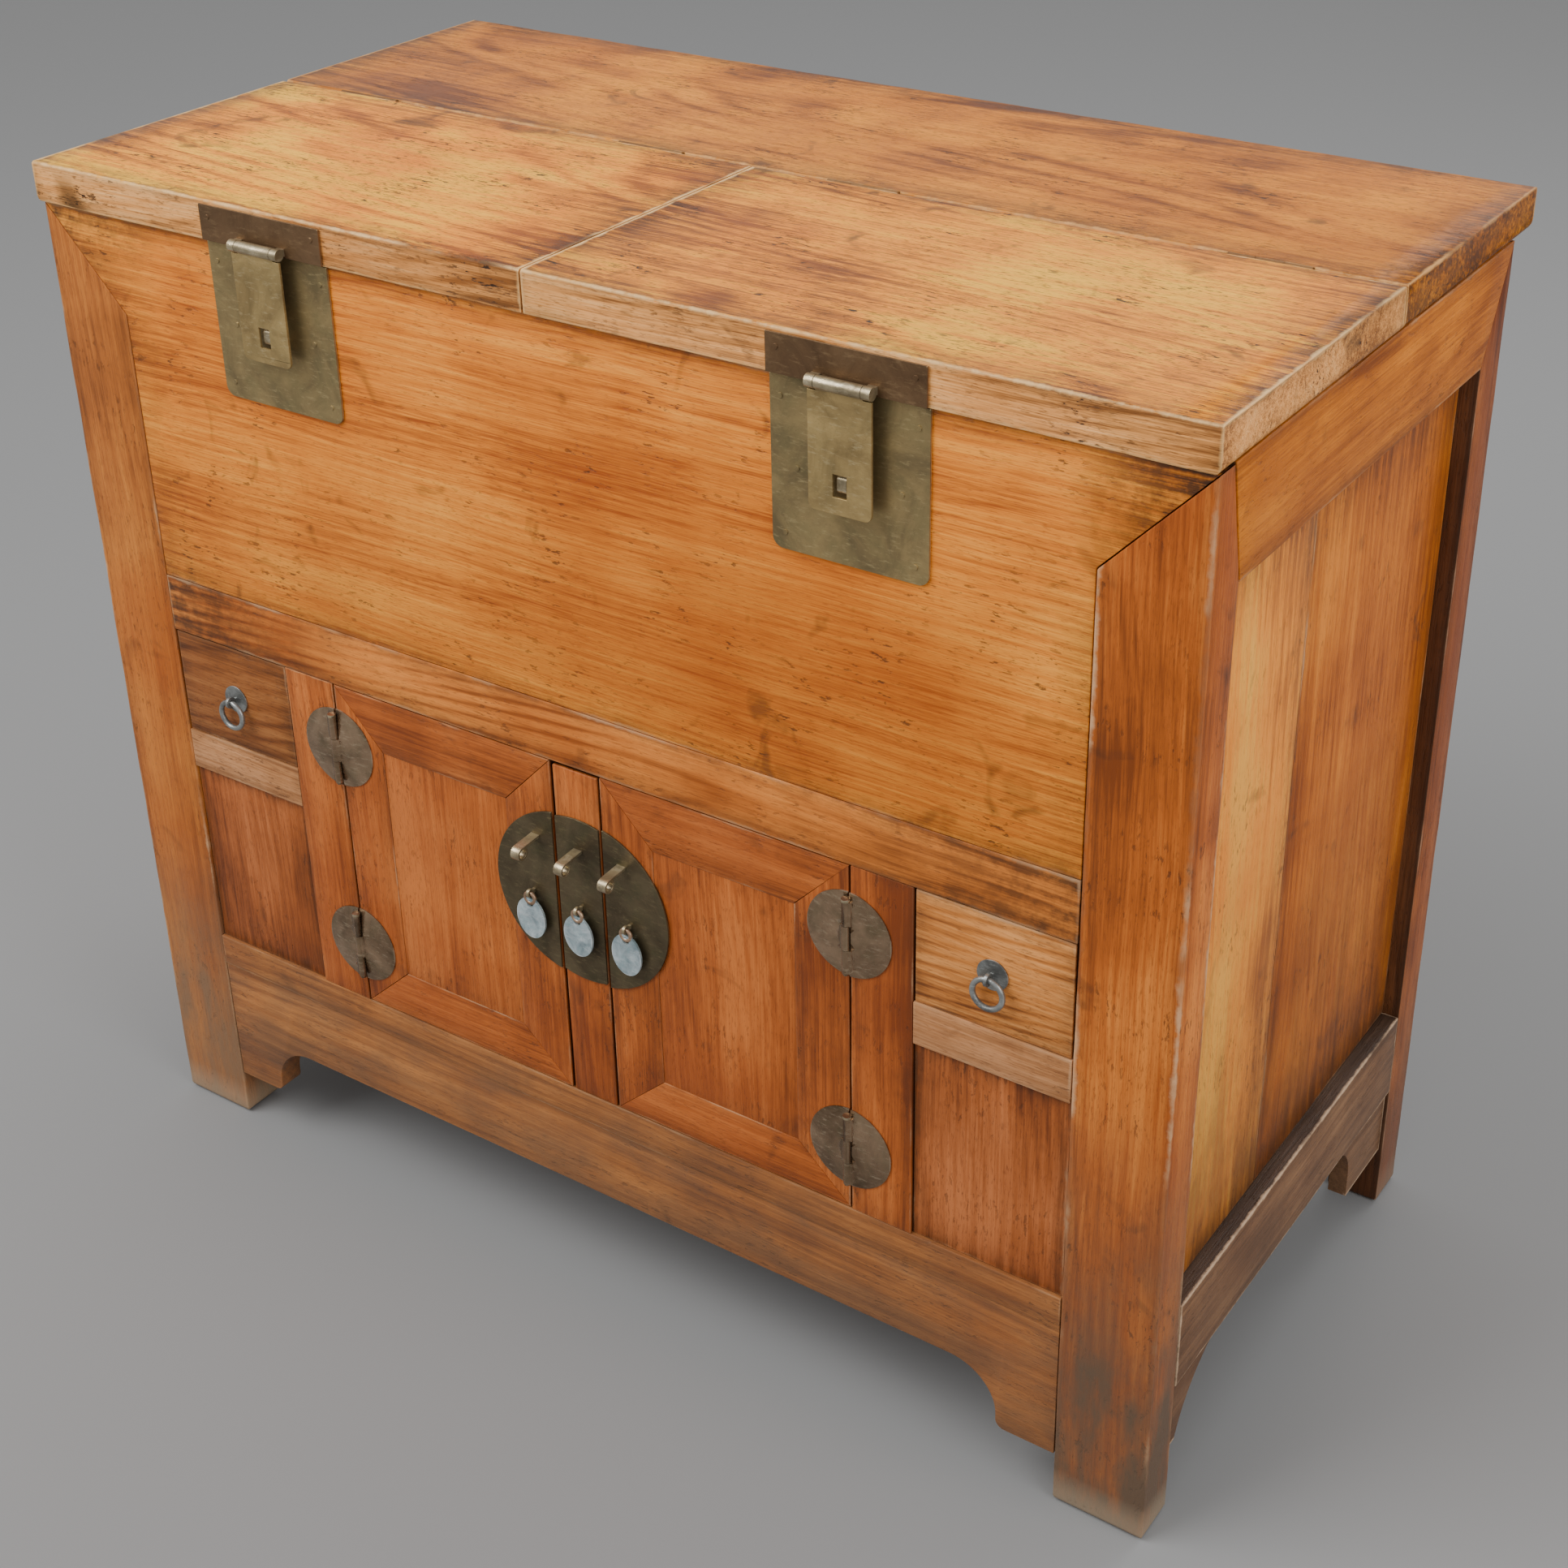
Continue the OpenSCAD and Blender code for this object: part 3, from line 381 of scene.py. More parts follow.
def nearest_arris(t: Tree, side: Sequence[Socket]) -> Socket:
    """Measure how far the nearest arris is: the middle one of the three distances.

    Args:
        t: the material's node tree.
        side: the distances inside the outline along X, Y and Z.

    Returns:
        The distance in metres.
    """
    low = put(t, "Math", {0: side[0], 1: side[1]}, operation="MINIMUM")[0]
    high = put(t, "Math", {0: side[0], 1: side[1]}, operation="MAXIMUM")[0]
    high = put(t, "Math", {0: high, 1: side[2]}, operation="MINIMUM")[0]
    return put(t, "Math", {0: low, 1: high}, operation="MAXIMUM")[0]


@dataclass(frozen=True)
class Patina:
    """Old sheet and cast metal, hammered or filed by hand and darkened with age.

    It gives the eye brown and green clouds over dull metal, with small bright rubs.
    """

    name: str
    low: str
    high: str
    rub: str
    green: str = "#565a3c"
    metallic: float = 0.75
    rough: float = 0.46
    clouds: float = 24.0
    greens: float = 0.35
    rubs: float = 0.45
    pits: float = 0.35

    @cache
    def material(self) -> Material:
        """Build the finish.

        Returns:
            The material.
        """
        made = bpy.data.materials.new("metal_" + self.name)
        made.use_nodes = True
        t = made.node_tree
        t.nodes.clear()
        place = put(t, "TexCoord")["Object"]
        cloud = put(t, "TexNoise", {"Vector": place, "Scale": self.clouds, "Detail": 5.0,
                                    "Roughness": 0.62, "Distortion": 0.6})["Fac"]
        hue = put(t, "ValToRGB", {"Fac": cloud})[0]
        ramp_stops(hue, [(0.34, self.low), (0.66, self.high)])
        veil = put(t, "TexNoise", {"Vector": place, "Scale": 2.7 * self.clouds,
                                   "Detail": 3.0})["Fac"]
        veil = put(t, "MapRange", {"Value": veil, "From Min": 0.46, "From Max": 0.68,
                                   "To Max": self.greens})[0]
        # pits, about a millimetre across
        pit = put(t, "TexVoronoi", {"Vector": place, "Scale": 420.0})["Distance"]
        pit = put(t, "MapRange", {"Value": pit, "From Min": 0.32, "From Max": 0.12,
                                  "To Max": self.pits})[0]
        pit = put(t, "Math", {0: pit, 1: cloud}, operation="MULTIPLY")[0]
        # fine scratches and rubs; in the pale brass their pure white also paints highlights
        rub_at = put(t, "Mapping", {"Vector": place, "Scale": (90.0, 90.0, 340.0),
                                    "Rotation": (0.0, 0.4, 0.0)})[0]
        rub = put(t, "TexNoise", {"Vector": rub_at, "Scale": 1.0, "Detail": 5.0,
                                  "Roughness": 0.7})["Fac"]
        rub = put(t, "MapRange", {"Value": rub, "From Min": 0.54, "From Max": 0.74,
                                  "To Max": self.rubs})[0]
        depth = arris_depth(t)
        half = put(t, "Attribute", attribute_name="edge_half")["Vector"]
        edge = nearest_arris(t, put(t, "SeparateXYZ", {0: depth}))
        keen = put(t, "MapRange", {"Value": edge, "From Min": 0.0011, "From Max": 0.0003,
                                   "To Max": 0.8})[0]
        # a CAD node carries no notes on its edges, so there it keeps its clouds
        whole = put(t, "VectorMath", {0: half}, operation="LENGTH")["Value"]
        whole = put(t, "Math", {0: whole, 1: 0.0005}, operation="GREATER_THAN")[0]
        keen = put(t, "Math", {0: keen, 1: whole}, operation="MULTIPLY")[0]
        rub = put(t, "Math", {0: rub, 1: keen}, operation="MAXIMUM")[0]
        base = hue
        for amount, code in ((veil, self.green), (pit, self.low), (rub, self.rub)):
            base = put(t, "MixRGB", {"Fac": amount, "Color1": base, "Color2": linear(code)})[0]
        dull = put(t, "MapRange", {"Value": cloud, "From Min": 0.3, "From Max": 0.7,
                                   "To Min": self.rough + 0.12, "To Max": self.rough - 0.10})[0]
        rise = put(t, "Math", {0: pit, 1: -1.5, 2: cloud}, operation="MULTIPLY_ADD")[0]
        bump = put(t, "Bump", {"Height": rise, "Strength": 0.25, "Distance": 0.0008})
        skin = put(t, "BsdfPrincipled", {"Base Color": base, "Roughness": dull,
                                         "Metallic": self.metallic, "Normal": bump[0]})
        put(t, "OutputMaterial", {"Surface": skin[0]})
        return made


PANEL = Elm("front_board", "#fda53e", "#e5842a", "#a8521a", rings=0.08, ends=0.80, ends_mm=112.0,
            streaks=0.68, fibre=0.55, blotch=0.68, marks=0.70, dirt=0.45, wear=0.40, fineness=1.3,
            joint=0.6)
RAIL = Elm("rail", "#ea9040", "#d07832", "#96501e", rings=0.40, wear=0.45, ends=0.64, ends_mm=190.0,
           joint=0.6)
POST = Elm("post", "#de8438", "#b86022", "#7e3f19", red="#8e3c10", rings=0.14, marks=0.6,
           blotch=0.75, foot=1.0, foot_top=0.40, dirt=0.35, wear=0.85, wear_mm=2.2, wear_run=0.56)
POST_LEFT = Elm("post_left", "#d08038", "#b0652c", "#7c4622", rings=0.14, marks=0.5, foot=0.95,
                dirt=0.30, wear=0.70, wear_mm=1.6, wear_run=0.45, low_tone="#82644a")
REAR_POST = Elm("rear_post", "#c0703c", "#9a542a", "#683218", red="#7c3c1c", rings=0.1, marks=0.4,
                foot=0.5, dirt=0.4, wear=0.50, worn_and_highlight="#c69a78")
# the rear posts' front faces, down in the recess behind the side panels: old dirt and painted shade
RECESS_SHADE_WOOD = Elm("recess_shade_face", "#7a4c2e", "#5c3821", "#382012", red="#4a2815", rings=0.1, dirt=0.8,
                 dirt_mm=9.0, wear=0.2, worn_and_highlight="#8f6a4c")
DOOR = Elm("door", "#ce7638", "#ae5b26", "#7b3c1b", red="#9c4a20", rings=0.12, wear=0.40,
           wear_mm=0.7, dirt=0.30, joint=0.85)
DOOR_PANEL = replace(DOOR, name="door_panel", dirt=0.15, wear=0.10, wear_mm=0.4)
LOWER = Elm("lower_panel", "#c27240", "#a2582a", "#6e381c", red="#8a4420", dirt=0.55, rings=0.12,
            joint=0.85)
# on the top boards the pale arris band is worn wood and a painted highlight on the glossy front
# arris
TOP = Elm("top", "#ffbc30", "#f49216", "#8a480e", red="#de640a", rings=0.24, ring_mm=12.0,
          blotch=1.25, streaks=0.60, fibre=0.60, marks=1.0, checks=0.9, wear=0.90,
          wear_mm=1.7, wear_run=0.95, dirt=0.62, dirt_mm=30.0, ends=0.34, ends_mm=50.0,
          rough=0.44, worn_and_highlight="#f0c284", fineness=1.5, pores=0.95, sway_mm=28.0)
# the lids' front and end faces, lighter than the top: pale end grain on the ends, and painted light
# on the front faces
TOP_ENDS_AND_LIT_FRONT = Elm("top_end_grain_and_lit_front", "#ffc07a", "#e89e56", "#8c5628", red="#b86c2c", rings=0.20,
               fibre=0.60, marks=1.0, checks=0.6, wear=0.80, wear_mm=1.4, wear_run=0.85,
               dirt=0.50, dirt_mm=10.0, rough=0.44, worn_and_highlight="#eab676", fineness=1.5, pores=0.7)
REAR_TOP = Elm("rear_top", "#ec941c", "#ca740c", "#743a08", red="#a8560c", rings=0.26, ring_mm=12.0,
               marks=0.9, checks=0.8, wear=0.85, wear_mm=1.4, wear_run=0.9, dirt=0.65, dirt_mm=34.0,
               ends=0.40, ends_mm=60.0, rough=0.44, blotch=1.3, worn_and_highlight="#e2a868", fineness=1.4,
               pores=0.85, sway_mm=24.0)
DRAWER = Elm("drawer", "#eaa05a", "#c67a38", "#744020", red="#9a5624", rings=0.6, dirt=0.45,
             marks=0.3, joint=0.85)
DRAWER_LEFT = Elm("drawer_left", "#b27440", "#90552a", "#56301a", red="#7a4220", rings=0.3,
                  dirt=0.5, marks=0.3, joint=0.85)
PALE_RAIL = Elm("pale_rail", "#d69a6a", "#b47a4c", "#804e2c", red="#9c623c", rings=0.2, dirt=0.25)
# the side boards: their darkening towards the bottom and at their ends is painted shade with grime
SIDE = Elm("side", "#e68a32", "#c66c22", "#8e4514", red="#9c501c", rings=0.12, marks=0.5, dirt=0.34,
           dirt_mm=20.0, ends=0.50, ends_mm=80.0, joint=0.7, soil="#42332a", foot=0.95,
           foot_top=0.52, low_tone="#4c2c18")
NARROW = Elm("side_narrow", "#ffb44a", "#fa9834", "#b86624", red="#d4722a", rings=0.1, marks=0.5,
             dirt=0.45, dirt_mm=24.0, ends=0.36, ends_mm=60.0, joint=0.6, soil="#48382e", foot=1.0,
             foot_top=0.54, low_tone="#5a3820")
SIDE_RAIL = Elm("side_rail", "#ec8e26", "#c66e16", "#8e470c", red="#aa5812", rings=0.2, marks=0.4,
                dirt=0.35, wear=0.5)
SIDE_SILL = Elm("side_sill", "#98704e", "#78543a", "#4e3424", red="#603c24", rings=0.1, marks=0.4,
                dirt=0.3, wear=0.90, wear_run=1.0, worn_and_highlight="#d0b090", foot=0.3)
# the sill's upward faces, painted darker as shade on the ledge, with a pale worn arris
SILL_TOP_SHADE = Elm("side_sill_top_shade", "#604a3c", "#4a382c", "#2e221b", red="#3e2a1e", rings=0.1,
               marks=0.3, dirt=0.3, wear=0.90, wear_run=1.0, worn_and_highlight="#d0b090")
APRON = Elm("apron", "#d28848", "#ae6a34", "#784424", red="#965024", rings=0.22, dirt=0.30,
            foot=0.65, marks=0.4, wear=0.30, wear_mm=0.8)
INSIDE = Elm("inside", "#a87a4c", "#8e6238", "#684323", red="#7d5430", rings=0.2, wear=0.2,
             dirt=0.3, rough=0.6)
# the same bare elm for faces that carry no notes on their arrises
INSIDE_PLAIN = replace(INSIDE, name="inside_plain", wear=0.0, dirt=0.0)

BRASS = Patina("aged_sheet_brass", "#786849", "#ae9666", "#dcc690", green="#7a7a54", greens=0.2)
RED_BRASS = Patina("reddened_sheet_brass", "#5e4630", "#86684a", "#b0926a", greens=0.12,
                   green="#5c4f3a")
HASP_BRASS = Patina("rubbed_hasp_brass", "#8d774e", "#ceb076", "#ecd8a8", greens=0.15)
BRIGHT_BRASS = Patina("handled_cast_brass", "#84765c", "#c0b08e", "#f0e6cc", greens=0.08,
                      rough=0.32, clouds=60.0)
LINK_BRASS = Patina("pink_link_brass", "#8c6f58", "#c4a488", "#ead0b4", greens=0.05, rough=0.38)
DISC_BRASS = Patina("domed_hinge_brass", "#685440", "#ac9074", "#e8d4b4", greens=0.25,
                    metallic=0.85, rough=0.26)
PLATE_BRASS = Patina("round_plate_brass", "#4a3f2e", "#706249", "#a09068", greens=0.25)
# the pendants' pure white rubs are rubbed metal and painted highlights
PALE_BRASS = Patina("pale_white_brass", "#82949a", "#d2dfe2", "#ffffff", green="#8fb0b4",
                    metallic=0.50, rough=0.32, clouds=70.0)
STEEL = Patina("forged_steel", "#6a6b69", "#a8aba8", "#dcdfdc", greens=0.15, green="#5c5850",
               rough=0.36, clouds=60.0)
SUNK_IRON = Patina("sunk_iron_brown_with_wax", "#6a4526", "#926838", "#a8845a", greens=0.1,
                   green="#3a2a1c", metallic=0.35, rough=0.6)


# the bench

def clear_selection() -> None:
    """Leave nothing selected, because an operator acts on all that is."""
    bpy.ops.object.select_all(action="DESELECT")


def only(piece: Piece) -> None:
    """Select one piece alone and make it active.

    Args:
        piece: the piece to work on.
    """
    clear_selection()
    piece.select_set(True)
    bpy.context.view_layer.objects.active = piece


def finish_modifier(piece: Piece, kind: str, **settings: object) -> None:
    """Add a modifier, set it and apply it.

    Args:
        piece: the piece it works on.
        kind: the modifier's type.
        settings: the modifier's properties.
    """
    only(piece)
    modifier = piece.modifiers.new(kind.lower(), kind)
    for name, value in settings.items():
        setattr(modifier, name, value)
    bpy.ops.object.modifier_apply(modifier=modifier.name)


def blank(name: str, low: Vector, high: Vector) -> Piece:
    """Saw a plain block to size, with its place in its mesh.

    Args:
        name: the piece's name.
        low: its lowest corner in metres.
        high: its highest corner in metres.

    Returns:
        The block.
    """
    clear_selection()
    bpy.ops.mesh.primitive_cube_add(size=1.0, location=(low + high) / 2)
    piece = bpy.context.active_object
    piece.name = piece.data.name = name
    piece.scale = high - low
    bpy.ops.object.transform_apply(location=True, rotation=True, scale=True)
    return piece


def copied(node: str, name: str) -> Piece:
    """Start a piece from a copy of a node's faces, joined into one clean skin.

    Args:
        node: the node to copy.
        name: the new piece's name.

    Returns:
        The new piece.
    """
    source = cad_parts[node]
    piece = bpy.data.objects.new(name, source.data.copy())
    piece.data.name = name
    piece.data.materials.clear()
    bpy.context.scene.collection.objects.link(piece)
    only(piece)
    bpy.ops.object.mode_set(mode="EDIT")
    bpy.ops.mesh.select_all(action="SELECT")
    bpy.ops.mesh.remove_doubles(threshold=0.00001)
    bpy.ops.mesh.dissolve_limited(angle_limit=math.radians(0.5))
    bpy.ops.object.mode_set(mode="OBJECT")
    return piece


def cross_cuts(piece: Piece, axis: int, step: float) -> None:
    """Mark a piece across at even steps, so that its worn edges can wander.

    Args:
        piece: the piece.
        axis: 0, 1 or 2 for X, Y or Z.
        step: the distance between marks, in metres.
    """
    values = [v.co[axis] for v in piece.data.vertices]
    low, high = min(values), max(values)
    count = max(1, int((high - low) / step))
    normal = Vector((0.0, 0.0, 0.0))
    normal[axis] = 1.0
    only(piece)
    bpy.ops.object.mode_set(mode="EDIT")
    for i in range(1, count):
        point = Vector((0.0, 0.0, 0.0))
        point[axis] = low + (high - low) * i / count
        bpy.ops.mesh.select_all(action="SELECT")
        bpy.ops.mesh.bisect(plane_co=point, plane_no=normal, use_fill=False)
    bpy.ops.object.mode_set(mode="OBJECT")


def arris(piece: Piece, width: float, least: float = 35.0) -> None:
    """Bevel, by a width in metres, every edge that turns by more than the least angle."""
    finish_modifier(piece, "BEVEL", width=width, segments=2, limit_method="ANGLE",
                    angle_limit=math.radians(least))


def ease_foot(piece: Piece, width: float) -> None:
    """Round the edges that a post stands on.

    Args:
        piece: the post.
        width: how much of each face goes, in metres.
    """
    floor = min(v.co.z for v in piece.data.vertices) + 0.0005
    only(piece)
    bpy.ops.object.mode_set(mode="EDIT")
    bpy.ops.mesh.select_all(action="DESELECT")
    bpy.ops.object.mode_set(mode="OBJECT")
    points = piece.data.vertices
    for edge in piece.data.edges:
        edge.select = all(points[i].co.z < floor for i in edge.vertices)
    bpy.ops.object.mode_set(mode="EDIT")
    bpy.ops.mesh.select_mode(type="EDGE")
    bpy.ops.mesh.bevel(offset=width, segments=3, affect="EDGES")
    bpy.ops.object.mode_set(mode="OBJECT")


@cache
def cloud_texture(size: float) -> bpy.types.Texture:
    """Give a soft cloud pattern for slow wear.

    Args:
        size: how large a cloud is, in metres.

    Returns:
        The texture.
    """
    made = bpy.data.textures.new(f"wear_{size:.3f}", "CLOUDS")
    made.noise_scale = size
    made.noise_depth = 2
    return made


def weather(piece: Piece, depth: float, size: float) -> None:
    """Wear a piece's skin back unevenly by up to a depth, in hollows of a size, in metres."""
    finish_modifier(piece, "DISPLACE", texture=cloud_texture(size), texture_coords="LOCAL",
                    strength=depth, mid_level=1.0)


def soften(piece: Piece) -> None:
    """Shade a piece smooth except at its sharp edges."""
    only(piece)
    bpy.ops.object.shade_smooth_by_angle(angle=math.radians(SMOOTH_DEGREES))


def joined(parts: Sequence[Piece], name: str) -> Piece:
    """Join parts into one piece.

    Args:
        parts: the parts.
        name: the name of the whole.

    Returns:
        The whole.
    """
    clear_selection()
    for part in parts:
        part.select_set(True)
    whole = bpy.context.view_layer.objects.active = parts[0]
    bpy.ops.object.join()
    whole.name = whole.data.name = name
    return whole


def plank_marks(piece: Piece, low: Vector, high: Vector, cut: Point) -> None:
    """Note on a piece where its arrises are and which part of the log it came from.

    Args:
        piece: the piece.
        low: the lowest corner of its outline.
        high: its highest corner.
        cut: how far off in the log it was sawn, in metres.
    """
    middle, half = (low + high) / 2, (high - low) / 2
    mesh = piece.data
    places: list[float] = []
    for vertex in mesh.vertices:
        places.extend(vertex.co - middle)
    count = len(mesh.vertices)
    thin = [1.0 if size == min(half) else 0.0 for size in half]
    for name, values in (("edge_at", places), ("edge_half", list(half) * count),
                         ("cut", list(cut) * count), ("thin", thin * count)):
        layer = mesh.attributes.new(name, "FLOAT_VECTOR", "POINT")
        layer.data.foreach_set("vector", values)


def log_place(name: str, low: Vector, high: Vector, axis: int, heart: Point | None) -> Vector:
    """Choose a board's place in the log, the same each time for the same name.

    Args:
        name: the board's name.
        low: the lowest corner of its outline.
        high: its highest corner.
        axis: the axis that the grain runs along.
        heart: how far the pith lies under the face and to the side, or None for a chance
            place well to the side, which gives straight grain.

    Returns:
        The shift in metres.
    """
    draw = random.Random(name)
    across = sorted((i for i in range(3) if i != axis), key=lambda i: high[i] - low[i])
    if heart is None:
        heart = (draw.uniform(0.05, 0.12), draw.uniform(0.18, 0.40) * draw.choice((-1, 1)))
    shift = -(low + high) / 2
    shift[axis] += draw.uniform(-3.0, 3.0)
    shift[across[0]] += heart[0]
    shift[across[1]] += heart[1]
    return shift


def set_on(piece: Piece, body: str, slot: str, *nodes: str) -> None:
    """Hand a finished piece over to the frame.

    Args:
        piece: the piece.
        body: the body that it rides on.
        slot: the record's material slot; not used.
        nodes: the CAD nodes that it stands for.
    """
    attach(piece, body)
    if nodes:
        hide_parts(*nodes)
    LOG.info("%s on %s, %d faces", piece.name, body, len(piece.data.polygons))


def refinish(piece: Piece, material: Material, chosen: Callable) -> None:
    """Give some faces of a piece a finish of their own.

    Args:
        piece: the piece.
        material: the finish.
        chosen: says of a face whether it is one of them.
    """
    if material.name not in piece.data.materials:
        piece.data.materials.append(material)
    number = piece.data.materials.find(material.name)
    for face in piece.data.polygons:
        if chosen(face):
            face.material_index = number


@dataclass
class Board:
    """One board: where it is, its grain, its finish and how worn its arrises are."""

    name: str
    low: Vector
    high: Vector
    finish: Elm
    grain: Grain
    arris_mm: float = 0.9
    wear_mm: float = 0.5
    heart: Point | None = None
    step: float = 0.04
    source: str = ""
    cut: Point | None = None
    foot_mm: float = 0.0
    hollow: float = 0.05
    corners: Sequence[tuple[Vector, Vector]] = ()
    gap: float = 0.0001
    faces: Sequence[tuple[Elm, Point]] = ()

    def make(self) -> Piece:
        """Saw, shape, wear and stain the board.

        Returns:
            The board.
        """
        if self.source:
            piece = copied(self.source, self.name)
        else:
            piece = blank(self.name, self.low, self.high)
        for outer, inner in self.corners:
            self.mitre(piece, outer, inner)
        if self.foot_mm:
            ease_foot(piece, self.foot_mm * MM)
        cross_cuts(piece, self.grain.axis, self.step)
        if self.arris_mm:
            arris(piece, self.arris_mm * MM)
        weather(piece, self.wear_mm * MM, self.hollow)
        soften(piece)
        place = self.cut or log_place(self.name, self.low, self.high, self.grain.axis, self.heart)
        plank_marks(piece, self.low, self.high, place)
        piece.data.materials.append(self.finish.material(self.grain))
        for finish, way in self.faces:
            refinish(piece, finish.material(self.grain),
                     lambda face: face.normal.dot(Vector(way)) > FACING)
        return piece

    def mitre(self, piece: Piece, outer: Vector, inner: Vector) -> None:
        """Cut an end off along a mitre line and close the cut, where the line is the board's.

        Args:
            piece: the board so far.
            outer: the outer end of the mitre line.
            inner: the inner end of the mitre line.
        """
        if not all(self.low[i] - HAIR <= outer[i] <= self.high[i] + HAIR for i in (0, 2)):
            return
        waste = (inner - outer).cross(Vector((0.0, 1.0, 0.0))).normalized()
        if ((self.low + self.high) / 2 - outer).dot(waste) > 0:
            waste = -waste
        only(piece)
        bpy.ops.object.mode_set(mode="EDIT")
        bpy.ops.mesh.select_all(action="SELECT")
        bpy.ops.mesh.bisect(plane_co=outer - waste * self.gap, plane_no=waste, use_fill=True,
                            clear_outer=True)
        bpy.ops.object.mode_set(mode="OBJECT")


def put_board(node: str, body: str, slot: str, finish: Elm, grain: Grain, copy: bool = False,
              **extra: object) -> None:
    """Make a board that fills a node's box and set it in the node's place.

    Args:
        node: the node.
        body: the body that it rides on.
        slot: its material slot.
        finish: its finish.
        grain: its grain.
        copy: start from the node's own faces, for a shape that isn't a block.
        extra: other fields of Board.
    """
    low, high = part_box(node)
    board = Board(node + "_wood", low, high, finish, grain, source=node if copy else "", **extra)
    set_on(board.make(), body, slot, node)


# the carcass

@dataclass
class Carcass:
    """The mitred post frame with its boards, rails, panels and aprons."""

    body: str = "carcass"
    narrow: float = 0.150
    seam: float = 0.0002
    back_boards: int = 4
    back_gap: float = 0.0006

    def build(self) -> None:
        """Make and dress every board of the carcass."""
        self.posts()
        self.front()
        self.sides()
        self.back()
        self.inside()

    def posts(self) -> None:
        """Make the four posts, mitred for the front board and the side rails."""
        for side in ("left", "right"):
            finish = POST_LEFT if side == "left" else POST
            put_board(f"front_post_{side}", self.body, "posts", finish, Grain.Z, copy=True,
                      arris_mm=1.8, wear_mm=1.3, step=0.014, foot_mm=5.0)
            # the rear posts' front faces take a dark finish: painted shade with dirt in the recess
            put_board(f"rear_post_{side}", self.body, "posts", REAR_POST, Grain.Z, copy=True,
                      arris_mm=1.4, wear_mm=0.9, step=0.03, foot_mm=4.0,
                      faces=((RECESS_SHADE_WOOD, (0.0, -1.0, 0.0)),))

    def front(self) -> None:
        """Make the front board, the rails, the stiles, the fixed panels and the apron."""
        put_board("front_panel", self.body, "rails", PANEL, Grain.X, copy=True, arris_mm=0.7)
        put_board("middle_rail", self.body, "rails", RAIL, Grain.X, copy=True, arris_mm=0.8,
                  heart=(0.05, 0.0))
        # the bottom rail and the apron come from one plank
        plank = log_place("sill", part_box("front_apron")[0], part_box("bottom_rail")[1], 0, None)
        put_board("bottom_rail", self.body, "rails", APRON, Grain.X, copy=True, arris_mm=0.4,
                  wear_mm=0.2, cut=plank)
        put_board("front_apron", self.body, "rails", APRON, Grain.X, copy=True, arris_mm=0.6,
                  cut=plank)
        for side in ("left", "right"):
            put_board(f"inner_stile_{side}", self.body, "doors", DOOR, Grain.Z)
        self.pair("drawer_rails", PALE_RAIL, Grain.X, "rails")
        self.pair("lower_panels", LOWER, Grain.Z, "doors")

    def pair(self, node: str, finish: Elm, grain: Grain, slot: str) -> None:
        """Make the left and right boards of a node that holds two.

        Args:
            node: the node.
            finish: their finish.
            grain: their grain.
            slot: their material slot.
        """
        low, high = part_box(node)
        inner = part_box("inner_stile_right")[1].x
        parts = []
        for side in (-1, 1):
            ends = sorted((side * inner, side * high.x))
            parts.append(Board(f"{node}_{side}", Vector((ends[0], low.y, low.z)),
                               Vector((ends[1], high.y, high.z)), finish, grain).make())
        set_on(joined(parts, node + "_wood"), self.body, slot, node)

    def sides(self) -> None:
        """Make the rails, panels and brackets of both sides."""
        for side in ("left", "right"):
            put_board(f"side_top_rail_{side}", self.body, "rails", SIDE_RAIL, Grain.Y, copy=True)
            # the sill's upward faces take a darker finish as painted shade
            put_board(f"side_bottom_rail_{side}", self.body, "rails", SIDE_SILL, Grain.Y,
                      arris_mm=1.2, faces=((SILL_TOP_SHADE, (0.0, 0.0, 1.0)),))
            low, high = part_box(f"side_panel_{side}")
            seam = low.y + self.narrow
            narrow = Board("narrow", low, Vector((high.x, seam - self.seam, high.z)), NARROW,
                           Grain.Z, arris_mm=0.5, wear_mm=0.4)
            wide = Board(f"wide_{side}", Vector((low.x, seam, low.z)), high, SIDE, Grain.Z,
                         arris_mm=0.5, wear_mm=0.4)
            panel = joined([narrow.make(), wide.make()], f"side_panel_{side}_wood")
            set_on(panel, self.body, "rails", f"side_panel_{side}")
        put_board("side_brackets", self.body, "rails", SIDE_SILL, Grain.Y, copy=True)

    def back(self) -> None:
        """Make the rails and boards of the back."""
        low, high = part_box("rear_rails")
        panel_low, panel_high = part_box("back_panel")
        bottom = Board("rear_low", low, Vector((high.x, high.y, panel_low.z)), INSIDE, Grain.X)
        top = Board("rear_high", Vector((low.x, low.y, panel_high.z)), high, INSIDE, Grain.X)
        rails = joined([bottom.make(), top.make()], "rear_rails_wood")
        set_on(rails, self.body, "inside", "rear_rails")
        boards = []
        width = (panel_high.x - panel_low.x) / self.back_boards
        for i in range(self.back_boards):
            left = panel_low.x + i * width
            right = left + width - self.back_gap
            boards.append(Board(f"back_{i}", Vector((left, panel_low.y, panel_low.z)),
                                Vector((right, panel_high.y, panel_high.z)), INSIDE, Grain.Z,
                                arris_mm=0.8).make())
        set_on(joined(boards, "back_boards"), self.body, "inside", "back_panel")

    def inside(self) -> None:
        """Stain the boards inside, whose plain shapes are right as they are."""
        stain = INSIDE_PLAIN.material(Grain.X)
        for node in ("seam_rail", "coin_floor", "cupboard_floor", "drawer_housings"):
            dress_node(node, stain)


def dress_node(node: str, material: Material) -> None:
    """Give a CAD node that stays its material.

    Args:
        node: the node.
        material: its material.
    """
    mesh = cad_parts[node].data
    mesh.materials.clear()
    mesh.materials.append(material)


# the top

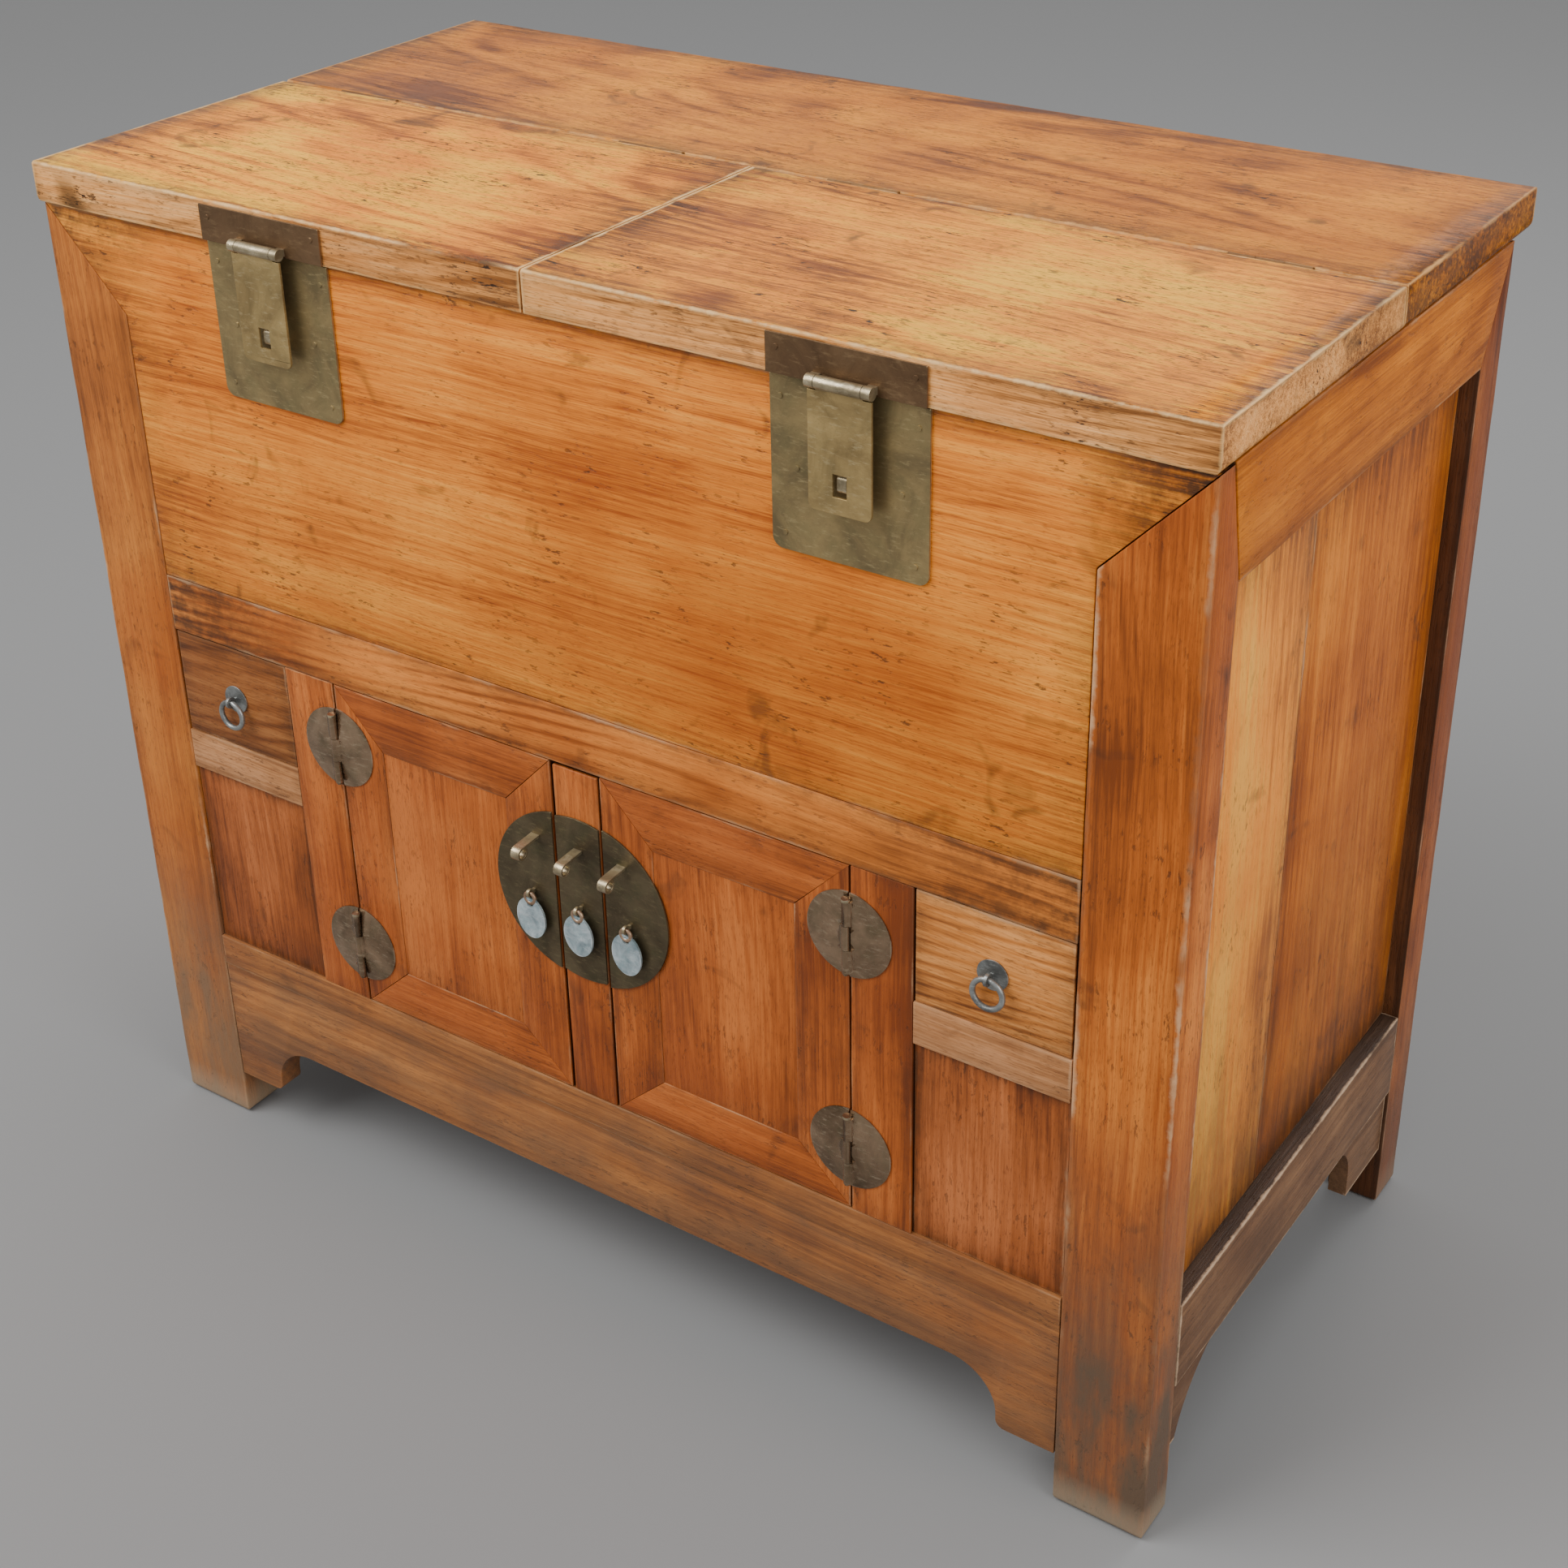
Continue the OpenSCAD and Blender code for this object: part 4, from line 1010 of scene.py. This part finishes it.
@dataclass
class Top:
    """The fixed rear board and the two hinged lids with their sunk hinges."""

    wear_mm: float = 1.0
    hollow: float = 0.035
    step: float = 0.02
    heart: Point = (0.045, 0.02)
    # the lids' front and end faces take a lighter finish: pale end grain on the ends, painted light
    # on the front faces
    lid_faces: Sequence[tuple[Elm, Point]] = (
        (TOP_ENDS_AND_LIT_FRONT, (0.0, -1.0, 0.0)), (TOP_ENDS_AND_LIT_FRONT, (-1.0, 0.0, 0.0)),
        (TOP_ENDS_AND_LIT_FRONT, (1.0, 0.0, 0.0)), (INSIDE_PLAIN, (0.0, 0.0, -1.0)))

    def build(self) -> None:
        """Make the three boards and dress the hinges."""
        for body in ("lid_left", "lid_right"):
            self.top_board(f"{body}_board", body, TOP, *self.lid_faces)
            dress_node(f"{body}_hinges", SUNK_IRON.material())
        self.top_board("rear_top_board", "carcass", REAR_TOP)
        dress_node("lid_hinges_fixed", SUNK_IRON.material())

    def top_board(self, node: str, body: str, finish: Elm, *faces: tuple[Elm, Point]) -> None:
        """Make one thick board with soft, uneven arrises and its faces' finishes, the lids' front
        faces painted lighter as painted light.
        """
        place = log_place(node, *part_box(node), 0, self.heart)
        put_board(node, body, "top", finish, Grain.X, copy=True, arris_mm=0.0, cut=place,
                  wear_mm=self.wear_mm, hollow=self.hollow, step=self.step, faces=faces)


# the metalwork

def dressed_copy(node: str, body: str, slot: str, finish: Patina, edge: float = 0.00025) -> Piece:
    """Make a metal piece from its node, with eased edges and a patina.

    Args:
        node: the node.
        body: the body that it rides on.
        slot: its material slot.
        finish: its patina.
        edge: how much the edges are eased, in metres.

    Returns:
        The piece.
    """
    piece = copied(node, node + "_metal")
    if edge:
        arris(piece, edge, SMOOTH_DEGREES)
    soften(piece)
    finish_modifier(piece, "WEIGHTED_NORMAL", weight=100, keep_sharp=True)
    low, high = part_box(node)
    plank_marks(piece, low, high, (0.0, 0.0, 0.0))
    piece.data.materials.append(finish.material())
    set_on(piece, body, slot, node)
    return piece


def tint(piece: Piece, finish: Patina, front: float = math.inf, bottom: float = -math.inf,
         top: float = math.inf) -> None:
    """Give the faces whose middles lie in front of a plane, or in a layer, another finish.

    Args:
        piece: the piece.
        finish: the other finish.
        front: the plane's place on Y, in metres.
        bottom: the layer's bottom on Z.
        top: the layer's top on Z.
    """
    refinish(piece, finish.material(),
             lambda face: face.center.y <= front and bottom <= face.center.z <= top)


def brighten(plate: Piece, depth: float) -> None:
    """Rub bright what stands out of a plate further than a depth in metres from its back."""
    back = max(v.co.y for v in plate.data.vertices)
    tint(plate, BRIGHT_BRASS, front=back - depth)


@dataclass
class Hasps:
    """The square lock plates, the plates on the lids and the hinged hasps."""

    plate_and_nails: float = 0.0026
    barrel: float = 0.0093

    def build(self) -> None:
        """Make both sets, with the worked parts rubbed bright."""
        for side in ("left", "right"):
            for plate in (
                    dressed_copy(f"lock_plate_{side}", "carcass", "plates", BRASS),
                    dressed_copy(f"lid_{side}_plate", f"lid_{side}", "plates", RED_BRASS)):
                brighten(plate, self.plate_and_nails)
            hasp = dressed_copy(f"hasp_{side}", f"hasp_{side}", "hasps", HASP_BRASS)
            tint(hasp, BRIGHT_BRASS, bottom=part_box(f"hasp_{side}")[1].z - self.barrel)


@dataclass
class Doors:
    """The two mitred doors, their round hinges, and the loose centre stile."""

    stile: float = 0.046
    top: float = 0.048
    bottom: float = 0.043
    plate_t: float = 0.0018
    tag_t: float = 0.0018
    link: float = 0.0060
    disc_r: float = 0.035
    barrel: float = 0.030
    knuckle_r: float = 0.0034

    def build(self) -> None:
        """Make both doors and the centre stile."""
        for side in ("left", "right"):
            self.door_frame(side)
            body = f"door_{side}"
            put_board(f"{body}_panel", body, "doors", DOOR_PANEL, Grain.Z, arris_mm=0.3,
                      wear_mm=0.15)
            brighten(dressed_copy(f"{body}_plate", body, "plates", PLATE_BRASS), self.plate_t)
            dressed_copy(f"{body}_hinges", body, "hinges", DISC_BRASS, 0.0)
            self.pendant(f"pendant_{side}")
        self.fixed_hinges()
        put_board("centre_stile", "centre_stile", "doors", DOOR, Grain.Z, copy=True, arris_mm=1.2)
        brighten(dressed_copy("centre_plate", "centre_stile", "plates", PLATE_BRASS), self.plate_t)
        self.pendant("pendant_centre")

    def pendant(self, name: str) -> None:
        """Make a pendant in pale brass that hangs by a redder link.

        Args:
            name: the pendant, which is both the node and the body.
        """
        piece = dressed_copy(name, name, "pendants", PALE_BRASS, 0.0)
        low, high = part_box(name)
        tint(piece, LINK_BRASS, bottom=high.z - self.link)
        tint(piece, LINK_BRASS, front=(low.y + high.y) / 2 - self.tag_t / 2 - HAIR)

    def fixed_hinges(self) -> None:
        """Make the fixed halves of the round hinges, with bright heads on their pins."""
        node = "door_hinges_fixed"
        piece = dressed_copy(node, "carcass", "hinges", DISC_BRASS, 0.0)
        low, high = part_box(node)
        for middle in (low.z + self.disc_r, high.z - self.disc_r):
            tint(piece, BRIGHT_BRASS, low.y + self.knuckle_r, middle + self.barrel - HAIR,
                 middle + self.disc_r)

    def door_frame(self, side: str) -> None:
        """Make the four mitred members of one door.

        Args:
            side: left or right.
        """
        node = f"door_{side}_frame"
        low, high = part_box(node)
        inner_low = Vector((low.x + self.stile, low.y, low.z + self.bottom))
        inner_high = Vector((high.x - self.stile, high.y, high.z - self.top))
        members = (
            ("stile_a", low, Vector((inner_low.x, high.y, high.z)), Grain.Z),
            ("stile_b", Vector((inner_high.x, low.y, low.z)), high, Grain.Z),
            ("rail_a", low, Vector((high.x, high.y, inner_low.z)), Grain.X),
            ("rail_b", Vector((low.x, low.y, inner_high.z)), high, Grain.X),
        )
        corners = [(Vector((x0, 0, z0)), Vector((x1, 0, z1)))
                   for x0, x1 in ((low.x, inner_low.x), (high.x, inner_high.x))
                   for z0, z1 in ((low.z, inner_low.z), (high.z, inner_high.z))]
        parts = [Board(f"{node}_{name}", start, end, DOOR, grain, arris_mm=0.5, wear_mm=0.3,
                       corners=corners).make() for name, start, end, grain in members]
        set_on(joined(parts, node + "_wood"), f"door_{side}", "doors", node)


@dataclass
class Drawers:
    """The two small drawers with their ring pulls."""

    def build(self) -> None:
        """Make both drawers."""
        for side in ("left", "right"):
            body = f"drawer_{side}"
            finish = DRAWER_LEFT if side == "left" else DRAWER
            put_board(f"{body}_front", body, "drawer_fronts", finish, Grain.X, arris_mm=1.0,
                      heart=(0.06, 0.01))
            put_board(f"{body}_box", body, "inside", INSIDE, Grain.Y, copy=True, arris_mm=0.6)
            dressed_copy(f"{body}_pull", body, "pulls", STEEL)
            dressed_copy(f"ring_{side}", f"ring_{side}", "pulls", STEEL, 0.0)


# the studio

@dataclass
class Studio:
    """The pale floor, the soft lights and the camera."""

    eye: tuple[float, float, float] = (0.99982, -1.4112, 1.40511)
    azimuth: float = 34.74
    elevation: float = 28.44
    roll: float = -1.16
    focal_px: float = 2990.0
    frame_px: float = 1932.0
    shift: tuple[float, float] = (0.0, -0.0715)

    def build(self) -> None:
        """Set the studio up round the chest."""
        self.floor()
        self.lights()
        self.camera()

    def floor(self) -> None:
        """Lay a plain pale floor."""
        clear_selection()
        bpy.ops.mesh.primitive_plane_add(size=40.0, location=(0.0, 0.0, 0.0))
        ground = bpy.context.active_object
        ground.name = "studio_floor"
        made = bpy.data.materials.new("matt_paper_floor")
        made.use_nodes = True
        skin = made.node_tree.nodes["Principled BSDF"]
        skin.inputs["Base Color"].default_value = linear("#898989")
        skin.inputs["Roughness"].default_value = 0.9
        ground.data.materials.append(made)

    def lights(self) -> None:
        """Hang three large soft lights and an even sky."""
        for name, place, aim, size, power in (
                ("key", (-1.6, -2.2, 3.2), (0.0, 0.0, 0.4), 2.6, 125.0),
                ("fill", (3.2, -0.6, 1.9), (0.0, 0.0, 0.4), 2.4, 55.0),
                ("back", (0.6, 2.6, 3.0), (0.0, 0.0, 0.8), 2.0, 40.0)):
            lamp = bpy.data.lights.new(name, "AREA")
            lamp.size = size
            lamp.energy = power
            holder = bpy.data.objects.new(name, lamp)
            bpy.context.scene.collection.objects.link(holder)
            holder.location = place
            away = Vector(place) - Vector(aim)
            holder.rotation_euler = away.to_track_quat("Z", "Y").to_euler()
        world = bpy.data.worlds.new("even_sky")
        bpy.context.scene.world = world
        world.use_nodes = True
        sky = world.node_tree.nodes["Background"]
        sky.inputs["Color"].default_value = (1.0, 1.0, 1.0, 1.0)
        sky.inputs["Strength"].default_value = 0.72

    def camera(self) -> None:
        """Put the camera where the photograph was taken."""
        turn, lift = math.radians(self.azimuth), math.radians(self.elevation)
        back = Vector((math.sin(turn) * math.cos(lift), -math.cos(turn) * math.cos(lift),
                       math.sin(lift)))
        right = Vector((math.cos(turn), math.sin(turn), 0.0))
        up = back.cross(right)
        c, s = math.cos(math.radians(self.roll)), math.sin(math.radians(self.roll))
        right, up = c * right + s * up, -s * right + c * up
        lens = bpy.data.cameras.new("camera")
        lens.sensor_width = 36.0
        lens.lens = self.focal_px / self.frame_px * 36.0
        lens.shift_x, lens.shift_y = self.shift
        holder = bpy.data.objects.new("camera", lens)
        bpy.context.scene.collection.objects.link(holder)
        holder.matrix_world = Matrix((
            (right.x, up.x, back.x, self.eye[0]), (right.y, up.y, back.y, self.eye[1]),
            (right.z, up.z, back.z, self.eye[2]), (0.0, 0.0, 0.0, 1.0)))
        bpy.context.scene.camera = holder


def main() -> None:
    """Build the chest piece by piece."""
    logging.basicConfig(level=logging.INFO, format="%(message)s")
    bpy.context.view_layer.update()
    clear_selection()
    for part in (Studio(), Carcass(), Top(), Hasps(), Doors(), Drawers()):
        LOG.info("building: %s", type(part).__name__)
        part.build()
    bpy.context.view_layer.update()


if __name__ == "__main__":
    main()
